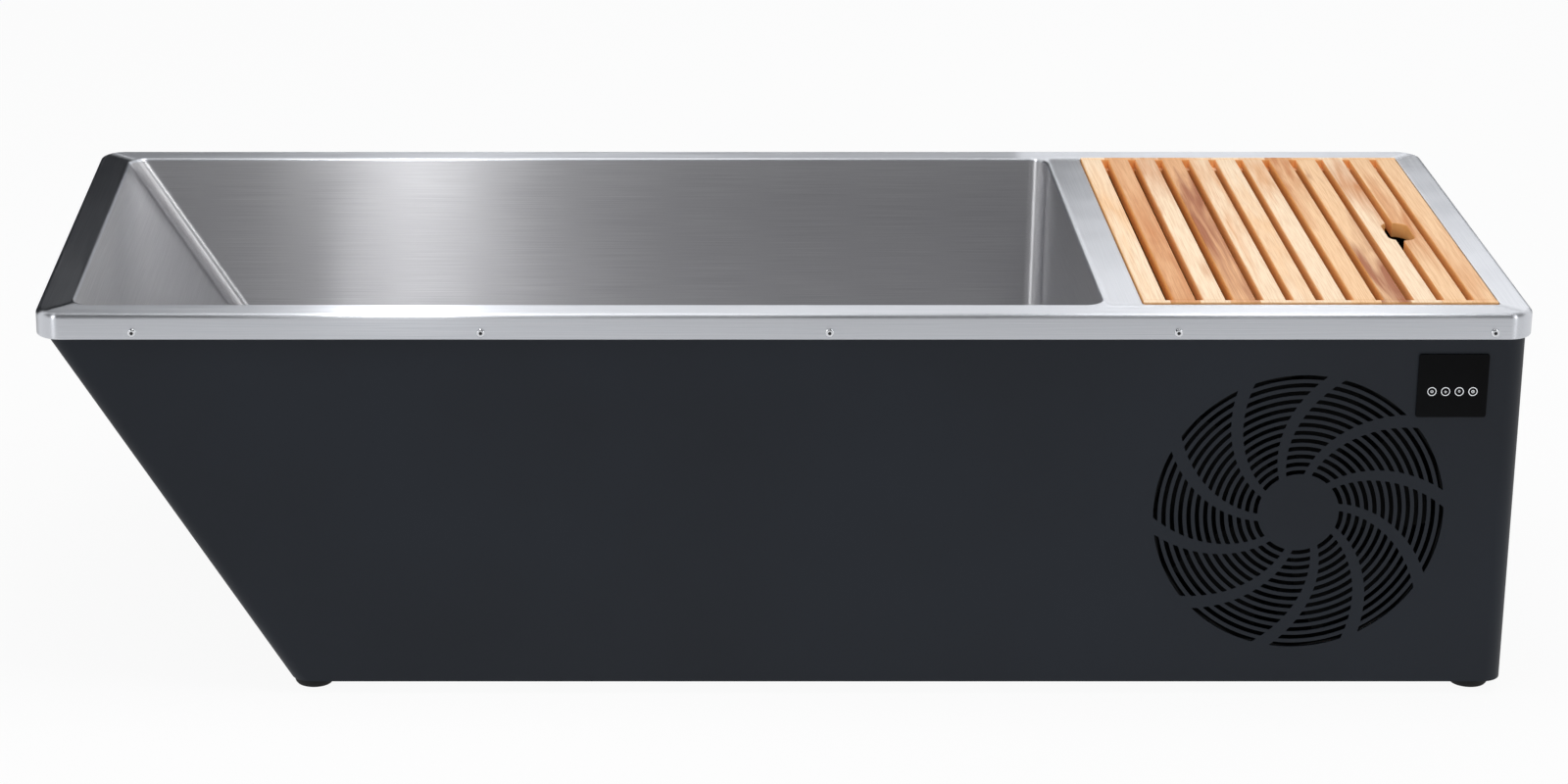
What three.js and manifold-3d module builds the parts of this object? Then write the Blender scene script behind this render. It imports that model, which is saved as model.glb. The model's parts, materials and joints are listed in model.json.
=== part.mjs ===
// A cold plunge tub with a built-in chiller: a stainless basin and deck on a powder-coated casing,
// a lift-off wooden lid over the machine bay, and a swirl grille in front of the condenser fan.
// Millimetres. +X runs from the sloped end to the machine end, the front faces -Y and +Z is up.
// The origin is on the floor under the middle of the deck.

import * as THREE from 'three';
import { mergeVertices } from 'three/addons/utils/BufferGeometryUtils.js';
import Module from 'manifold-3d';

const wasm = await Module();
wasm.setup();

// Driving dimensions: deck and rim
const deckLength = 2000;
const deckWidth = 802;
const deckHeight = 550;
const deckCorner = 35;
const sheet = 2;
const gap = 0.3;
const skirtHeight = 36;
const skirtRoll = 7;
const rimLeft = 47.5;
const rimMiddle = 52;
const rimRight = 40.5;
const rimFront = 43;
const rimRear = 44;
const basinCorner = 26;
const basinFlange = 13;
const basinFillet = 24;
const lidOpeningLength = 478.5;
const lidOpeningCorner = 5;

// Driving dimensions: casing, base and feet
const skirtOverhang = 7;
const leftOverhang = 13;
const leanAngle = THREE.MathUtils.degToRad(32.6);
const casingCorner = 28;
const cornerReturn = 16;
const lapWidth = 11;
const panelFlange = 14;
const footHeight = 18;
const footRadius = 27;
const footBore = 6;
const footBoreDepth = 10;
const footChamfer = 4;
const footInsetLeft = 30;
const footInsetRight = 38;
const footInsetFront = 45;
const tubeSize = 30;
const tubeWall = 2.5;
const crossBays = 3;
const foamEnd = 24;
const foamFloor = 56;
const foamClearance = 1;
const ventCount = 10;
const ventWidth = 6;
const ventHeight = 130;
const ventPitch = 16;
const ventFromRight = 120;

// Driving dimensions: deck screws
const screwFirst = 131;
const screwPitch = 464.3;
const screwLastInset = 55;
const screwRise = 10;
const screwHeadRadius = 6;
const screwHeadHeight = 2.4;
const screwHeadDome = 1.4;
const screwHeadFlat = 3.6;
const screwShankRadius = 2.4;
const screwGrip = 4;

// Driving dimensions: lid
const slatCount = 12;
const slatGap = 10;
const slatThickness = 22;
const slatChamfer = 1.5;
const lidProud = 2.5;
const lidClearance = 2;
const ledgeWidth = 12;
const railWidth = 10;
const railLedge = 16;
const railLedgeHeight = 9;
const fingerHoleWidth = 39;
const fingerHoleLength = 88;
const fingerHoleY = -30;
const fingerHoleSlat = 10;

// Driving dimensions: grille and fan
const grilleShift = 25;
const grilleMargin = 40;
const firstRing = 58;
const ringPitch = 11.27;
const slotWidth = 6;
const armCount = 10;
const armStart = THREE.MathUtils.degToRad(114.8);
const armTwist = THREE.MathUtils.degToRad(36.2);
const armWidthInner = 10.5;
const armWidthOuter = 24;
const fanClearance = 12;
const fanTipClearance = 9;
const fanDepth = 36;
const fanBlades = 5;
const fanBladeWidth = THREE.MathUtils.degToRad(48);
const fanBladeSweep = THREE.MathUtils.degToRad(17);
const fanHubRadius = 46;
const fanHubDome = 9;
const fanBladeThickness = 3;
const fanMotorRadius = 44;
const fanMotorLength = 56.3;
const motorBell = 13;
const fanShaftRadius = 5;
const bracketThickness = 4;
const bracketArmWidth = 16;
const condenserDepth = 44;
const condenserPlate = 3;
const condenserFins = 12;
const finGroove = 12;
const finGrooveDepth = 6;
const condenserStubInset = 30;

// Driving dimensions: controls
const controlWidth = 94;
const controlHeight = 89;
const controlFromRight = 98.5;
const controlFromTop = 102;
const controlCorner = 4;
const controlProud = 2;
const controlHousingInset = 11;
const controlHousingDepth = 22;
const buttonCount = 4;
const buttonPitch = 18.3;
const buttonRadius = 6.7;
const buttonDrop = 8;
const buttonProud = 0.4;
const buttonLength = 9;
const buttonTravel = 1;

// Driving dimensions: water circuit
const spigotBore = 12;
const spigotWall = 4;
const socketWall = 4;
const socketGrip = 12;
const flangeRadius = 32;
const flangeThickness = 3;
const nozzleDome = 4.5;
const nozzleFace = 22;
const fittingClearance = 4;
const filterRadius = 62;
const filterWall = 4;
const filterRise = 215;
const filterSetback = 36;
const capClearance = 1.6;
const capWall = 5;
const capSkirt = 26;
const capGripHeight = 18;
const capGripWidth = 14;
const cartridgeClearance = 12;
const cartridgeBore = 18;
const voluteRadius = 58;
const voluteWall = 6;
const voluteWidth = 40;
const impellerTipClearance = 8;
const impellerDisc = 5;
const impellerVanes = 6;
const impellerVaneWidth = 4;
const pumpShaftRadius = 6;
const pumpClearance = 2;
const pumpMotorRadius = 50;
const pumpMotorLength = 105;
const exchangerRadius = 48;
const exchangerLength = 210;
const exchangerRise = 150;
const exchangerBell = 14;
const portInset = 42;
const returnDrop = 170;
const returnY = 40;
const returnReach = 22;
const drainInset = 120;
const drainBore = 18;
const drainWall = 4;
const drainFlange = 36;
const drainReach = 8;
const plugLip = 4.5;
const plugKnobRadius = 9;
const plugKnobHeight = 14;

// Driving dimensions: refrigerant circuit and power
const compressorRadius = 70;
const compressorHeight = 245;
const compressorLip = 14;
const compressorCrown = 31;
const compressorShoulder = 14;
const compressorSetback = 30;
const compressorFromBulkhead = 150;
const lineRadius = 5;
const stubRadius = 8;
const stubLength = 18;
const bendReach = 0.45;
const lineSides = 8;
const lineSteps = 16;
const controllerDepth = 52;
const controllerLength = 190;
const controllerHeight = 130;
const controllerDrop = 70;
const inletWidth = 50;
const inletHeight = 32;
const inletProud = 4;
const inletDepth = 26;
const inletRim = 4;
const inletRecess = 17;
const inletFromRight = 330;
const inletRise = 60;

// Faceting of round stretches
const cornerSegments = 2;
const roundSegments = 16;
const smallSegments = 10;
const slotSegments = 2;
const rollSegments = 3;
const bladeSegments = 4;

// How far joined forms run into each other, and how near points are one point
const bite = 1;
const weldDistance = 1e-3;

const quarter = Math.PI / 2;

// Levels
const skirtBottom = deckHeight - skirtHeight;
const deckUnderside = deckHeight - sheet;
const panelTop = deckUnderside - gap;
const endPanelTop = panelTop - sheet - gap;
const trayTop = footHeight + sheet;
const frameBottom = trayTop + gap;
const frameTop = frameBottom + tubeSize;
const frameSeat = frameTop + gap;
const basinUnderside = frameSeat + foamFloor + foamClearance;
const basinFloor = basinUnderside + sheet;
const lidTop = deckHeight + lidProud;
const lidBottom = lidTop - slatThickness;
const ledgeTop = lidBottom - gap;

// Plan rectangles
const deck = { left: -deckLength / 2, right: deckLength / 2, front: -deckWidth / 2, rear: deckWidth / 2 };
const lidOpening = {
  left: deck.right - rimRight - lidOpeningLength,
  right: deck.right - rimRight,
  front: deck.front + rimFront,
  rear: deck.rear - rimRear,
};
const basin = { ...lidOpening, left: deck.left + rimLeft, right: lidOpening.left - rimMiddle };
const casing = {
  left: deck.left + leftOverhang,
  right: deck.right - skirtOverhang,
  front: deck.front + skirtOverhang,
  rear: deck.rear - skirtOverhang,
};
const lid = grow(lidOpening, -lidClearance);

// Lean of the sloped end: how far a left-hand face has moved in at a given height
const leanSlope = Math.tan(leanAngle);
const casingLeftAtFloor = casing.left + (skirtBottom - footHeight) * leanSlope;
const endPanelDepth = 2 * sheet + gap;

// Machine bay between the bulkhead and the right-hand end
const bulkheadLeft = basin.right + sheet + foamClearance + foamEnd + gap;
const bay = {
  left: bulkheadLeft + sheet,
  right: casing.right - endPanelDepth,
  front: casing.front + sheet,
  rear: casing.rear - sheet,
};

// Grille and fan
const grilleX = (bay.left + bay.right) / 2 - grilleShift;
const grilleZ = (footHeight + skirtBottom) / 2;
const grilleReach = Math.min((skirtBottom - footHeight) / 2, grilleX - bay.left) - grilleMargin;
const ringCount = Math.floor((grilleReach - slotWidth / 2 - firstRing) / ringPitch) + 1;
const lastRing = firstRing + (ringCount - 1) * ringPitch;
const shroudBore = lastRing + slotWidth / 2 + 1;
const shroudRadius = shroudBore + sheet;
const fanRadius = shroudBore - fanTipClearance;
const fanFront = bay.front + fanClearance;
const bracketFront = fanFront + fanDepth + fanClearance;
const condenserFront = bracketFront + fanMotorLength + fanClearance;
const condenserRear = condenserFront + condenserDepth;

// Water circuit, on a line low in the basin's rear right-hand corner
const spigotRadius = spigotBore + spigotWall;
const waterLineY = basin.rear - basinCorner - flangeRadius - fittingClearance;
const waterLineZ = basinFloor + basinFillet + flangeRadius + fittingClearance;
const filterX = bay.left + filterSetback + filterRadius;
const filterTop = waterLineZ + filterRise;
const socketRadius = spigotRadius + gap + socketWall;
const voluteLeft = filterX + filterRadius + 2 * socketGrip;
const voluteRight = voluteLeft + voluteWidth;
const pumpMotorLeft = voluteRight - bite;
const outletX = voluteLeft + voluteWidth / 2;
const exchangerZ = waterLineZ + exchangerRise;
const exchangerLeft = outletX - spigotRadius - socketWall;
const exchangerRight = exchangerLeft + exchangerLength;
const returnZ = deckHeight - returnDrop;
const drainX = basin.right - drainInset;
const drainRadius = drainBore + drainWall;

// Refrigerant circuit
const compressorFlange = compressorRadius + compressorLip;
const compressorX = bay.left + compressorFromBulkhead;
const compressorY = condenserRear + compressorSetback + compressorFlange;
const compressorTop = frameBottom + compressorHeight;

// Deck screws and controls
const screwZ = skirtBottom + screwRise;
const controlX = casing.right - controlFromRight;
const controlZ = deckHeight - controlFromTop;
const controlFace = casing.front - gap - controlProud;

// Finishes
function finish(color, roughness, metalness) {
  return new THREE.MeshStandardMaterial({ color, roughness, metalness });
}

const stainless = finish(0xb9babc, 0.32, 1);
const powderCoat = finish(0x272c33, 0.55, 0.1);
const galvanised = finish(0x9aa0a4, 0.5, 0.9);
const copper = finish(0xb06a42, 0.35, 1);
const blackPlastic = finish(0x17181a, 0.5, 0);
const greyPlastic = finish(0x8e9396, 0.55, 0);
const whitePlastic = finish(0xdedfdc, 0.5, 0);
const gloss = finish(0x08090b, 0.08, 0);
const rubber = finish(0x141414, 0.85, 0);
const foam = finish(0xd9cfae, 0.95, 0);
const paper = finish(0xe4e6e6, 0.9, 0);
const aluminium = finish(0xc4c7c9, 0.4, 1);
const acacia = finish(0xe0b98a, 0.55, 0);

// Geometry helpers

function grow(rectangle, distance) {
  return {
    left: rectangle.left - distance,
    right: rectangle.right + distance,
    front: rectangle.front - distance,
    rear: rectangle.rear + distance,
  };
}

function roundedRect({ left, right, front, rear }, radius) {
  const shape = new THREE.Shape();
  shape.absarc(right - radius, front + radius, radius, -quarter, 0);
  shape.absarc(right - radius, rear - radius, radius, 0, quarter);
  shape.absarc(left + radius, rear - radius, radius, quarter, 2 * quarter);
  shape.absarc(left + radius, front + radius, radius, 2 * quarter, 3 * quarter);
  return shape;
}

function polygon(points) {
  return new THREE.Shape(points.map(([x, y]) => new THREE.Vector2(x, y)));
}

// A plan shape raised from one level to another
function upright(shape, bottom, top) {
  const settings = { depth: top - bottom, bevelEnabled: false, curveSegments: cornerSegments };
  return new THREE.ExtrudeGeometry(shape, settings).translate(0, 0, bottom);
}

// The same with its upper and lower edges rolled
function rolled(shape, bottom, top, roll) {
  const settings = {
    depth: top - bottom - 2 * roll,
    curveSegments: cornerSegments,
    bevelSize: roll,
    bevelOffset: -roll,
    bevelThickness: roll,
    bevelSegments: rollSegments,
  };
  return new THREE.ExtrudeGeometry(shape, settings).translate(0, 0, bottom + roll);
}

// A shape drawn in X and Z, as seen from the front, run from one depth to another
function facing(shapes, front, rear) {
  const settings = { depth: rear - front, bevelEnabled: false, curveSegments: cornerSegments };
  return new THREE.ExtrudeGeometry(shapes, settings).rotateX(quarter).translate(0, rear, 0);
}

function block(left, right, front, rear, bottom, top) {
  const box = new THREE.BoxGeometry(right - left, rear - front, top - bottom);
  return box.translate((left + right) / 2, (front + rear) / 2, (bottom + top) / 2);
}

// A turned form about Z from pairs of radius and height
function turned(profile, segments = roundSegments) {
  const points = profile.map(([radius, height]) => new THREE.Vector2(radius, height));
  return new THREE.LatheGeometry(points, segments).rotateX(quarter);
}

function turnedAlongX(profile, segments) {
  return turned(profile, segments).rotateY(quarter);
}

function turnedAlongY(profile, segments) {
  return turned(profile, segments).rotateX(-quarter);
}

function rod(radius, start, end) {
  return [[0, start], [radius, start], [radius, end], [0, end]];
}

function pipe(bore, radius, start, end) {
  return [[bore, start], [radius, start], [radius, end], [bore, end], [bore, start]];
}

// A closed geometry as a solid that can be joined and cut
function solid(geometry) {
  const bare = geometry.clone();
  bare.deleteAttribute('normal');
  bare.deleteAttribute('uv');
  const merged = mergeVertices(bare, weldDistance);
  const mesh = new wasm.Mesh({
    numProp: 3,
    vertProperties: new Float32Array(merged.attributes.position.array),
    triVerts: new Uint32Array(merged.index.array),
  });
  return new wasm.Manifold(mesh);
}

function joined(...geometries) {
  return geometries.map(solid).reduce((whole, piece) => whole.add(piece));
}

function geometryOf(manifold) {
  const mesh = manifold.getMesh();
  const geometry = new THREE.BufferGeometry();
  geometry.setAttribute('position', new THREE.BufferAttribute(mesh.vertProperties, 3));
  geometry.setIndex(new THREE.BufferAttribute(mesh.triVerts, 1));
  geometry.computeVertexNormals();
  return geometry;
}

function piece(name, shape, material) {
  const geometry = shape.isBufferGeometry ? shape : geometryOf(shape);
  const mesh = new THREE.Mesh(geometry, material);
  mesh.name = name;
  return mesh;
}

// Leans the left-hand end of a form inwards as it goes down from a given level
function leaned(geometry, level) {
  const point = geometry.attributes.position;
  for (let i = 0; i < point.count; i += 1) {
    const x = point.getX(i);
    if (x < 0) point.setX(i, x + (level - point.getZ(i)) * leanSlope);
  }
  return geometry;
}

// A casing sheet: upright behind the skirt, with its left-hand end leaning below the skirt
function casingSheet(shape, top) {
  const leaning = leaned(upright(shape, footHeight, skirtBottom), skirtBottom);
  return joined(leaning, upright(shape, skirtBottom, top));
}

function arcPoints(x, y, radius, start, end) {
  const count = 2 * cornerSegments;
  return Array.from({ length: count + 1 }, (_, i) => {
    const angle = start + ((end - start) * i) / count;
    return [x + radius * Math.cos(angle), y + radius * Math.sin(angle)];
  });
}

// Deck: a pressed tray turned upside down, with a hemmed skirt, the basin opening and the lid's well

function makeDeck() {
  const cutDepth = skirtHeight;
  const outer = rolled(roundedRect(deck, deckCorner), skirtBottom - cutDepth, deckHeight, skirtRoll);
  const hollow = rolled(
    roundedRect(grow(deck, -sheet), deckCorner - sheet),
    skirtBottom + sheet - 2 * skirtRoll,
    deckUnderside,
    skirtRoll - sheet,
  );
  const hemTop = skirtBottom + sheet;
  const below = block(deck.left, deck.right, deck.front, deck.rear, skirtBottom - cutDepth, skirtBottom);
  const underHem = block(deck.left, deck.right, deck.front, deck.rear, 0, hemTop);
  const casingHole = upright(
    roundedRect(grow(casing, gap), casingCorner + gap),
    skirtBottom - cutDepth,
    hemTop + sheet,
  );
  const basinHole = upright(roundedRect(basin, basinCorner), hemTop, deckHeight + sheet);
  const wellOuter = upright(
    roundedRect(grow(lidOpening, sheet), lidOpeningCorner + sheet),
    ledgeTop - sheet,
    deckUnderside + sheet / 2,
  );
  const wellInner = upright(roundedRect(lidOpening, lidOpeningCorner), ledgeTop, deckHeight + sheet);
  const wellFloor = upright(
    roundedRect(grow(lidOpening, -ledgeWidth), lidOpeningCorner),
    ledgeTop - 2 * sheet,
    ledgeTop + sheet,
  );
  let body = solid(outer).subtract(solid(below));
  body = body.subtract(solid(hollow).subtract(solid(underHem)));
  body = body.subtract(solid(casingHole)).subtract(solid(basinHole));
  body = body.add(solid(wellOuter)).subtract(solid(wellInner)).subtract(solid(wellFloor));
  for (const x of screwPlaces()) body = body.subtract(solid(screwHole(x)));
  return piece('deck', body, stainless);
}

function screwPlaces() {
  const places = [];
  for (let x = deck.left + screwFirst; x < deck.right - screwLastInset - screwPitch / 2; x += screwPitch) {
    places.push(x);
  }
  places.push(deck.right - screwLastInset);
  return places;
}

function screwHole(x) {
  const reach = skirtOverhang + 2 * sheet + screwGrip;
  const hole = turnedAlongY(rod(screwShankRadius + gap, -sheet, reach), smallSegments);
  return hole.translate(x, deck.front, screwZ);
}

function makeScrews() {
  const head = [
    [0, -gap - screwHeadHeight],
    [screwHeadFlat, -gap - screwHeadHeight],
    [screwHeadRadius, -gap - screwHeadHeight + screwHeadDome],
    [screwHeadRadius, -gap],
    [screwShankRadius, -gap],
    [screwShankRadius, skirtOverhang + sheet + screwGrip],
    [0, skirtOverhang + sheet + screwGrip],
  ];
  return screwPlaces().map((x, i) => {
    const screw = piece(`deck_screw_${i + 1}`, turnedAlongY(head, smallSegments), stainless);
    screw.position.set(x, deck.front, screwZ);
    return screw;
  });
}

// Basin: a welded tub hung by its flange under the deck, its left-hand wall leaning with the casing

function basinForm(distance, bottom, top, fillet) {
  const plan = roundedRect(grow(basin, distance), basinCorner + distance);
  return leaned(rolled(plan, bottom, top + fillet, fillet), deckUnderside);
}

function basinShell() {
  const top = deckUnderside - gap;
  const flange = upright(roundedRect(grow(basin, basinFlange), basinCorner + basinFlange), top - sheet, top);
  const above = block(deck.left, deck.right, deck.front, deck.rear, top, deckHeight + basinFillet + sheet);
  let body = solid(basinForm(sheet, basinUnderside, top, basinFillet + sheet)).add(solid(flange));
  body = body.subtract(solid(above)).subtract(solid(basinForm(0, basinFloor, top, basinFillet)));
  body = body.subtract(solid(drainHole(drainRadius + gap)));
  return body.subtract(solid(wallHole(waterLineY, waterLineZ))).subtract(solid(wallHole(returnY, returnZ)));
}

// The space of a side wall above the pan's fillet, mitred at the basin's upright corners
function cheekSpace(side, margin) {
  const outerY = side < 0 ? deck.front : deck.rear;
  const innerY = side < 0 ? basin.front + basinCorner : basin.rear - basinCorner;
  const left = basin.left + basinCorner - margin;
  const right = basin.right - basinCorner + margin;
  const reach = Math.abs(outerY - innerY);
  const plan = polygon([[left - reach, outerY], [right + reach, outerY], [right, innerY], [left, innerY]]);
  return leaned(upright(plan, basinFloor + basinFillet - margin, deckHeight), deckUnderside);
}

// Parted at its welds: a folded trough of pan and end walls, and a flat wall let in along each side
function makeBasin() {
  const shell = basinShell();
  const margin = gap * Math.SQRT2;
  const cheeks = [-1, 1].map((side) => solid(cheekSpace(side, margin)));
  return [
    piece('basin_trough', shell.subtract(cheeks[0]).subtract(cheeks[1]), stainless),
    piece('basin_front_wall', shell.intersect(solid(cheekSpace(-1, 0))), stainless),
    piece('basin_rear_wall', shell.intersect(solid(cheekSpace(1, 0))), stainless),
  ];
}

function drainHole(radius) {
  return turned(rod(radius, 0, basinFloor + sheet)).translate(drainX, 0, 0);
}

// A clearance hole for a spigot through the basin's right-hand wall, the foam and the bulkhead
function wallHole(y, z) {
  const hole = turnedAlongX(rod(spigotRadius + gap, basin.right - sheet, bay.left + sheet));
  return hole.translate(0, y, z);
}

function makeInsulation() {
  const top = skirtBottom - gap;
  const outerPlan = {
    left: casing.left + endPanelDepth + foamClearance,
    right: bulkheadLeft - gap,
    front: bay.front + foamClearance,
    rear: bay.rear - foamClearance,
  };
  const outer = leaned(upright(roundedRect(outerPlan, casingCorner), frameSeat, top), skirtBottom);
  const fillet = basinFillet + sheet + foamClearance;
  const inner = basinForm(sheet + foamClearance, basinUnderside - foamClearance, top + 2 * fillet, fillet);
  let body = solid(outer).subtract(solid(inner)).subtract(solid(drainHole(drainRadius + foamClearance)));
  body = body.subtract(solid(wallHole(waterLineY, waterLineZ))).subtract(solid(wallHole(returnY, returnZ)));
  return piece('insulation', body, foam);
}

// Casing: long sheets that wrap both corners, with flat end sheets lapped behind their returns

function wrapPlan(thickness, side) {
  const returnEnd = casing.front + casingCorner + cornerReturn;
  const y = casing.front + casingCorner;
  const leftX = casing.left + casingCorner;
  const rightX = casing.right - casingCorner;
  const inner = casingCorner - thickness;
  const points = [
    [casing.left, returnEnd],
    ...arcPoints(leftX, y, casingCorner, 2 * quarter, 3 * quarter),
    ...arcPoints(rightX, y, casingCorner, 3 * quarter, 4 * quarter),
    [casing.right, returnEnd],
    [casing.right - thickness, returnEnd],
    ...arcPoints(rightX, y, inner, 4 * quarter, 3 * quarter),
    ...arcPoints(leftX, y, inner, 3 * quarter, 2 * quarter),
    [casing.left + thickness, returnEnd],
  ];
  return polygon(points.map(([x, depth]) => [x, side * depth]));
}

function wrapPanel(side) {
  const flange = upright(wrapPlan(panelFlange, side), panelTop - sheet, panelTop);
  return casingSheet(wrapPlan(sheet, side), panelTop).add(solid(flange));
}

function makeFrontPanel() {
  let body = wrapPanel(1).subtract(solid(grilleSlots())).subtract(solid(controlCutout()));
  for (const x of screwPlaces()) body = body.subtract(solid(screwHole(x)));
  return piece('front_panel', body, powderCoat);
}

// One slot of the grille: an arc between two swirling arms, its ends cut along the arms
function grilleSlot(ring, arm) {
  const middle = firstRing + ring * ringPitch;
  const edge = (radius, reverse) => {
    const share = (radius - firstRing) / (lastRing - firstRing);
    const halfArm = THREE.MathUtils.lerp(armWidthInner, armWidthOuter, share) / 2 / radius;
    const from = armStart + (arm * 4 * quarter) / armCount - armTwist * share + halfArm;
    const to = from + (4 * quarter) / armCount - 2 * halfArm;
    return Array.from({ length: slotSegments + 1 }, (_, i) => {
      const angle = THREE.MathUtils.lerp(from, to, (reverse ? slotSegments - i : i) / slotSegments);
      return [grilleX + radius * Math.cos(angle), grilleZ + radius * Math.sin(angle)];
    });
  };
  return polygon([...edge(middle + slotWidth / 2, false), ...edge(middle - slotWidth / 2, true)]);
}

function grilleSlots() {
  const slots = [];
  for (let ring = 0; ring < ringCount; ring += 1) {
    for (let arm = 0; arm < armCount; arm += 1) slots.push(grilleSlot(ring, arm));
  }
  return facing(slots, casing.front - sheet, casing.front + 2 * sheet);
}

function controlOutline(inset, radius) {
  const plan = {
    left: controlX - controlWidth / 2 + inset,
    right: controlX + controlWidth / 2 - inset,
    front: controlZ - controlHeight / 2 + inset,
    rear: controlZ + controlHeight / 2 - inset,
  };
  return roundedRect(plan, radius);
}

function controlCutout() {
  const outline = controlOutline(controlHousingInset - gap, controlCorner);
  return facing(outline, casing.front - sheet, casing.front + 2 * sheet);
}

function makeRearPanel() {
  let body = wrapPanel(-1);
  for (let i = 0; i < ventCount; i += 1) {
    const x = casing.right - ventFromRight - i * ventPitch;
    const [bottom, top] = [grilleZ - ventHeight / 2, grilleZ + ventHeight / 2];
    const slot = block(x - ventWidth, x, casing.rear - 2 * sheet, casing.rear + sheet, bottom, top);
    body = body.subtract(solid(slot));
  }
  const inlet = inletOutline(gap);
  body = body.subtract(solid(facing(inlet, casing.rear - 2 * sheet, casing.rear + sheet)));
  return piece('rear_panel', body, powderCoat);
}

function inletOutline(growth) {
  const x = casing.right - inletFromRight;
  const z = frameTop + inletRise;
  const plan = {
    left: x - inletWidth / 2,
    right: x + inletWidth / 2,
    front: z - inletHeight / 2,
    rear: z + inletHeight / 2,
  };
  return roundedRect(grow(plan, growth), controlCorner);
}

function makeEndPanel(name, x, inwards) {
  const seam = casing.front + casingCorner + cornerReturn + gap;
  const lapFace = x + inwards * (sheet + gap);
  const lapBack = x + inwards * endPanelDepth;
  const back = x + inwards * sheet;
  const half = [
    [lapFace, seam - lapWidth],
    [lapFace, seam],
    [x, seam],
  ];
  const inside = [
    [back, seam + sheet],
    [lapBack, seam + sheet],
    [lapBack, seam - lapWidth],
  ];
  const mirrored = (points) => points.map(([px, py]) => [px, -py]).reverse();
  const plan = polygon([...half, ...mirrored(half), ...mirrored(inside), ...inside]);
  return piece(name, casingSheet(plan, endPanelTop), powderCoat);
}

// Base: a sheet tray, a welded tube frame on it, and four rubber feet

function makeTray() {
  const inside = {
    left: casingLeftAtFloor + endPanelDepth + gap,
    right: bay.right - gap,
    front: bay.front + gap,
    rear: bay.rear - gap,
  };
  const plate = upright(roundedRect(inside, casingCorner), footHeight, trayTop);
  return piece('base_tray', solid(plate).subtract(solid(drainHole(drainRadius + gap))), galvanised);
}

const footLeft = casingLeftAtFloor + footInsetLeft;
const footRight = casing.right - footInsetRight;
const footFront = casing.front + footInsetFront;

function frameTubes(size, reach) {
  const half = size / 2;
  const middle = frameBottom + tubeSize / 2;
  const ends = { left: footLeft - footInsetLeft / 2 - reach, right: footRight + footInsetRight / 2 + reach };
  const rails = [-footFront, footFront].map((y) =>
    block(ends.left, ends.right, y - half, y + half, middle - half, middle + half),
  );
  const crossPitch = (basin.right - footLeft) / crossBays;
  const crossings = Array.from({ length: crossBays + 1 }, (_, i) => footLeft + i * crossPitch);
  const crossMembers = [...crossings, footRight].map((x) =>
    block(x - half, x + half, footFront, -footFront, middle - half, middle + half),
  );
  return joined(...rails, ...crossMembers);
}

function makeFrame() {
  const body = frameTubes(tubeSize, 0).subtract(frameTubes(tubeSize - 2 * tubeWall, sheet));
  return piece('base_frame', body, galvanised);
}

function makeFeet() {
  const top = footHeight - gap;
  const profile = [
    [0, footBoreDepth],
    [footBore, footBoreDepth],
    [footBore, 0],
    [footRadius - footChamfer, 0],
    [footRadius, footChamfer],
    [footRadius, top],
    [0, top],
  ];
  const places = [
    ['foot_front_left', footLeft, footFront],
    ['foot_front_right', footRight, footFront],
    ['foot_rear_left', footLeft, -footFront],
    ['foot_rear_right', footRight, -footFront],
  ];
  return places.map(([name, x, y]) => {
    const foot = piece(name, turned(profile), rubber);
    foot.position.set(x, y, 0);
    return foot;
  });
}

function makeBulkhead() {
  const plate = block(bulkheadLeft, bay.left, bay.front + gap, bay.rear - gap, frameSeat, endPanelTop);
  let body = solid(plate);
  body = body.subtract(solid(wallHole(waterLineY, waterLineZ))).subtract(solid(wallHole(returnY, returnZ)));
  return piece('bulkhead', body, galvanised);
}

// Lid: slats between two rails, their ends rebated on the rails' ledges

function alongX(profile, left, right, chamfer) {
  const settings = {
    depth: right - left - 2 * chamfer,
    bevelEnabled: chamfer > 0,
    bevelSize: chamfer,
    bevelOffset: -chamfer,
    bevelThickness: chamfer,
    bevelSegments: 1,
  };
  const geometry = new THREE.ExtrudeGeometry(polygon(profile), settings);
  return geometry.rotateX(quarter).rotateZ(quarter).translate(left + chamfer, 0, 0);
}

const slatPitch = (lid.right - lid.left + slatGap) / slatCount;

function makeSlats() {
  const front = lid.front + railWidth + gap;
  const rear = lid.rear - railWidth - gap;
  const shoulder = railLedge + gap;
  const rebate = lidBottom + railLedgeHeight + gap;
  const profile = [
    [front, rebate],
    [front + shoulder, rebate],
    [front + shoulder, lidBottom],
    [rear - shoulder, lidBottom],
    [rear - shoulder, rebate],
    [rear, rebate],
    [rear, lidTop],
    [front, lidTop],
  ];
  const holeX = lid.left + fingerHoleSlat * slatPitch - slatGap / 2;
  const holePlan = {
    left: holeX - fingerHoleWidth / 2,
    right: holeX + fingerHoleWidth / 2,
    front: fingerHoleY - fingerHoleLength / 2,
    rear: fingerHoleY + fingerHoleLength / 2,
  };
  const holeCorner = fingerHoleWidth / 2 - gap;
  const hole = solid(upright(roundedRect(holePlan, holeCorner), lidBottom - sheet, lidTop + sheet));
  return Array.from({ length: slatCount }, (_, i) => {
    const left = lid.left + i * slatPitch;
    const slat = alongX(profile, left, left + slatPitch - slatGap, slatChamfer);
    const beside = i + 1 === fingerHoleSlat || i === fingerHoleSlat;
    return piece(`lid_slat_${i + 1}`, beside ? solid(slat).subtract(hole) : slat, acacia);
  });
}

function makeRail(name, side) {
  const outer = side < 0 ? lid.front : lid.rear;
  const strip = outer - side * railWidth;
  const ledge = strip - side * railLedge;
  const profile = [
    [outer, lidBottom],
    [ledge, lidBottom],
    [ledge, lidBottom + railLedgeHeight],
    [strip, lidBottom + railLedgeHeight],
    [strip, lidTop],
    [outer, lidTop],
  ];
  return piece(name, alongX(profile, lid.left, lid.right, 0), acacia);
}

// Fan and condenser behind the grille

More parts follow.
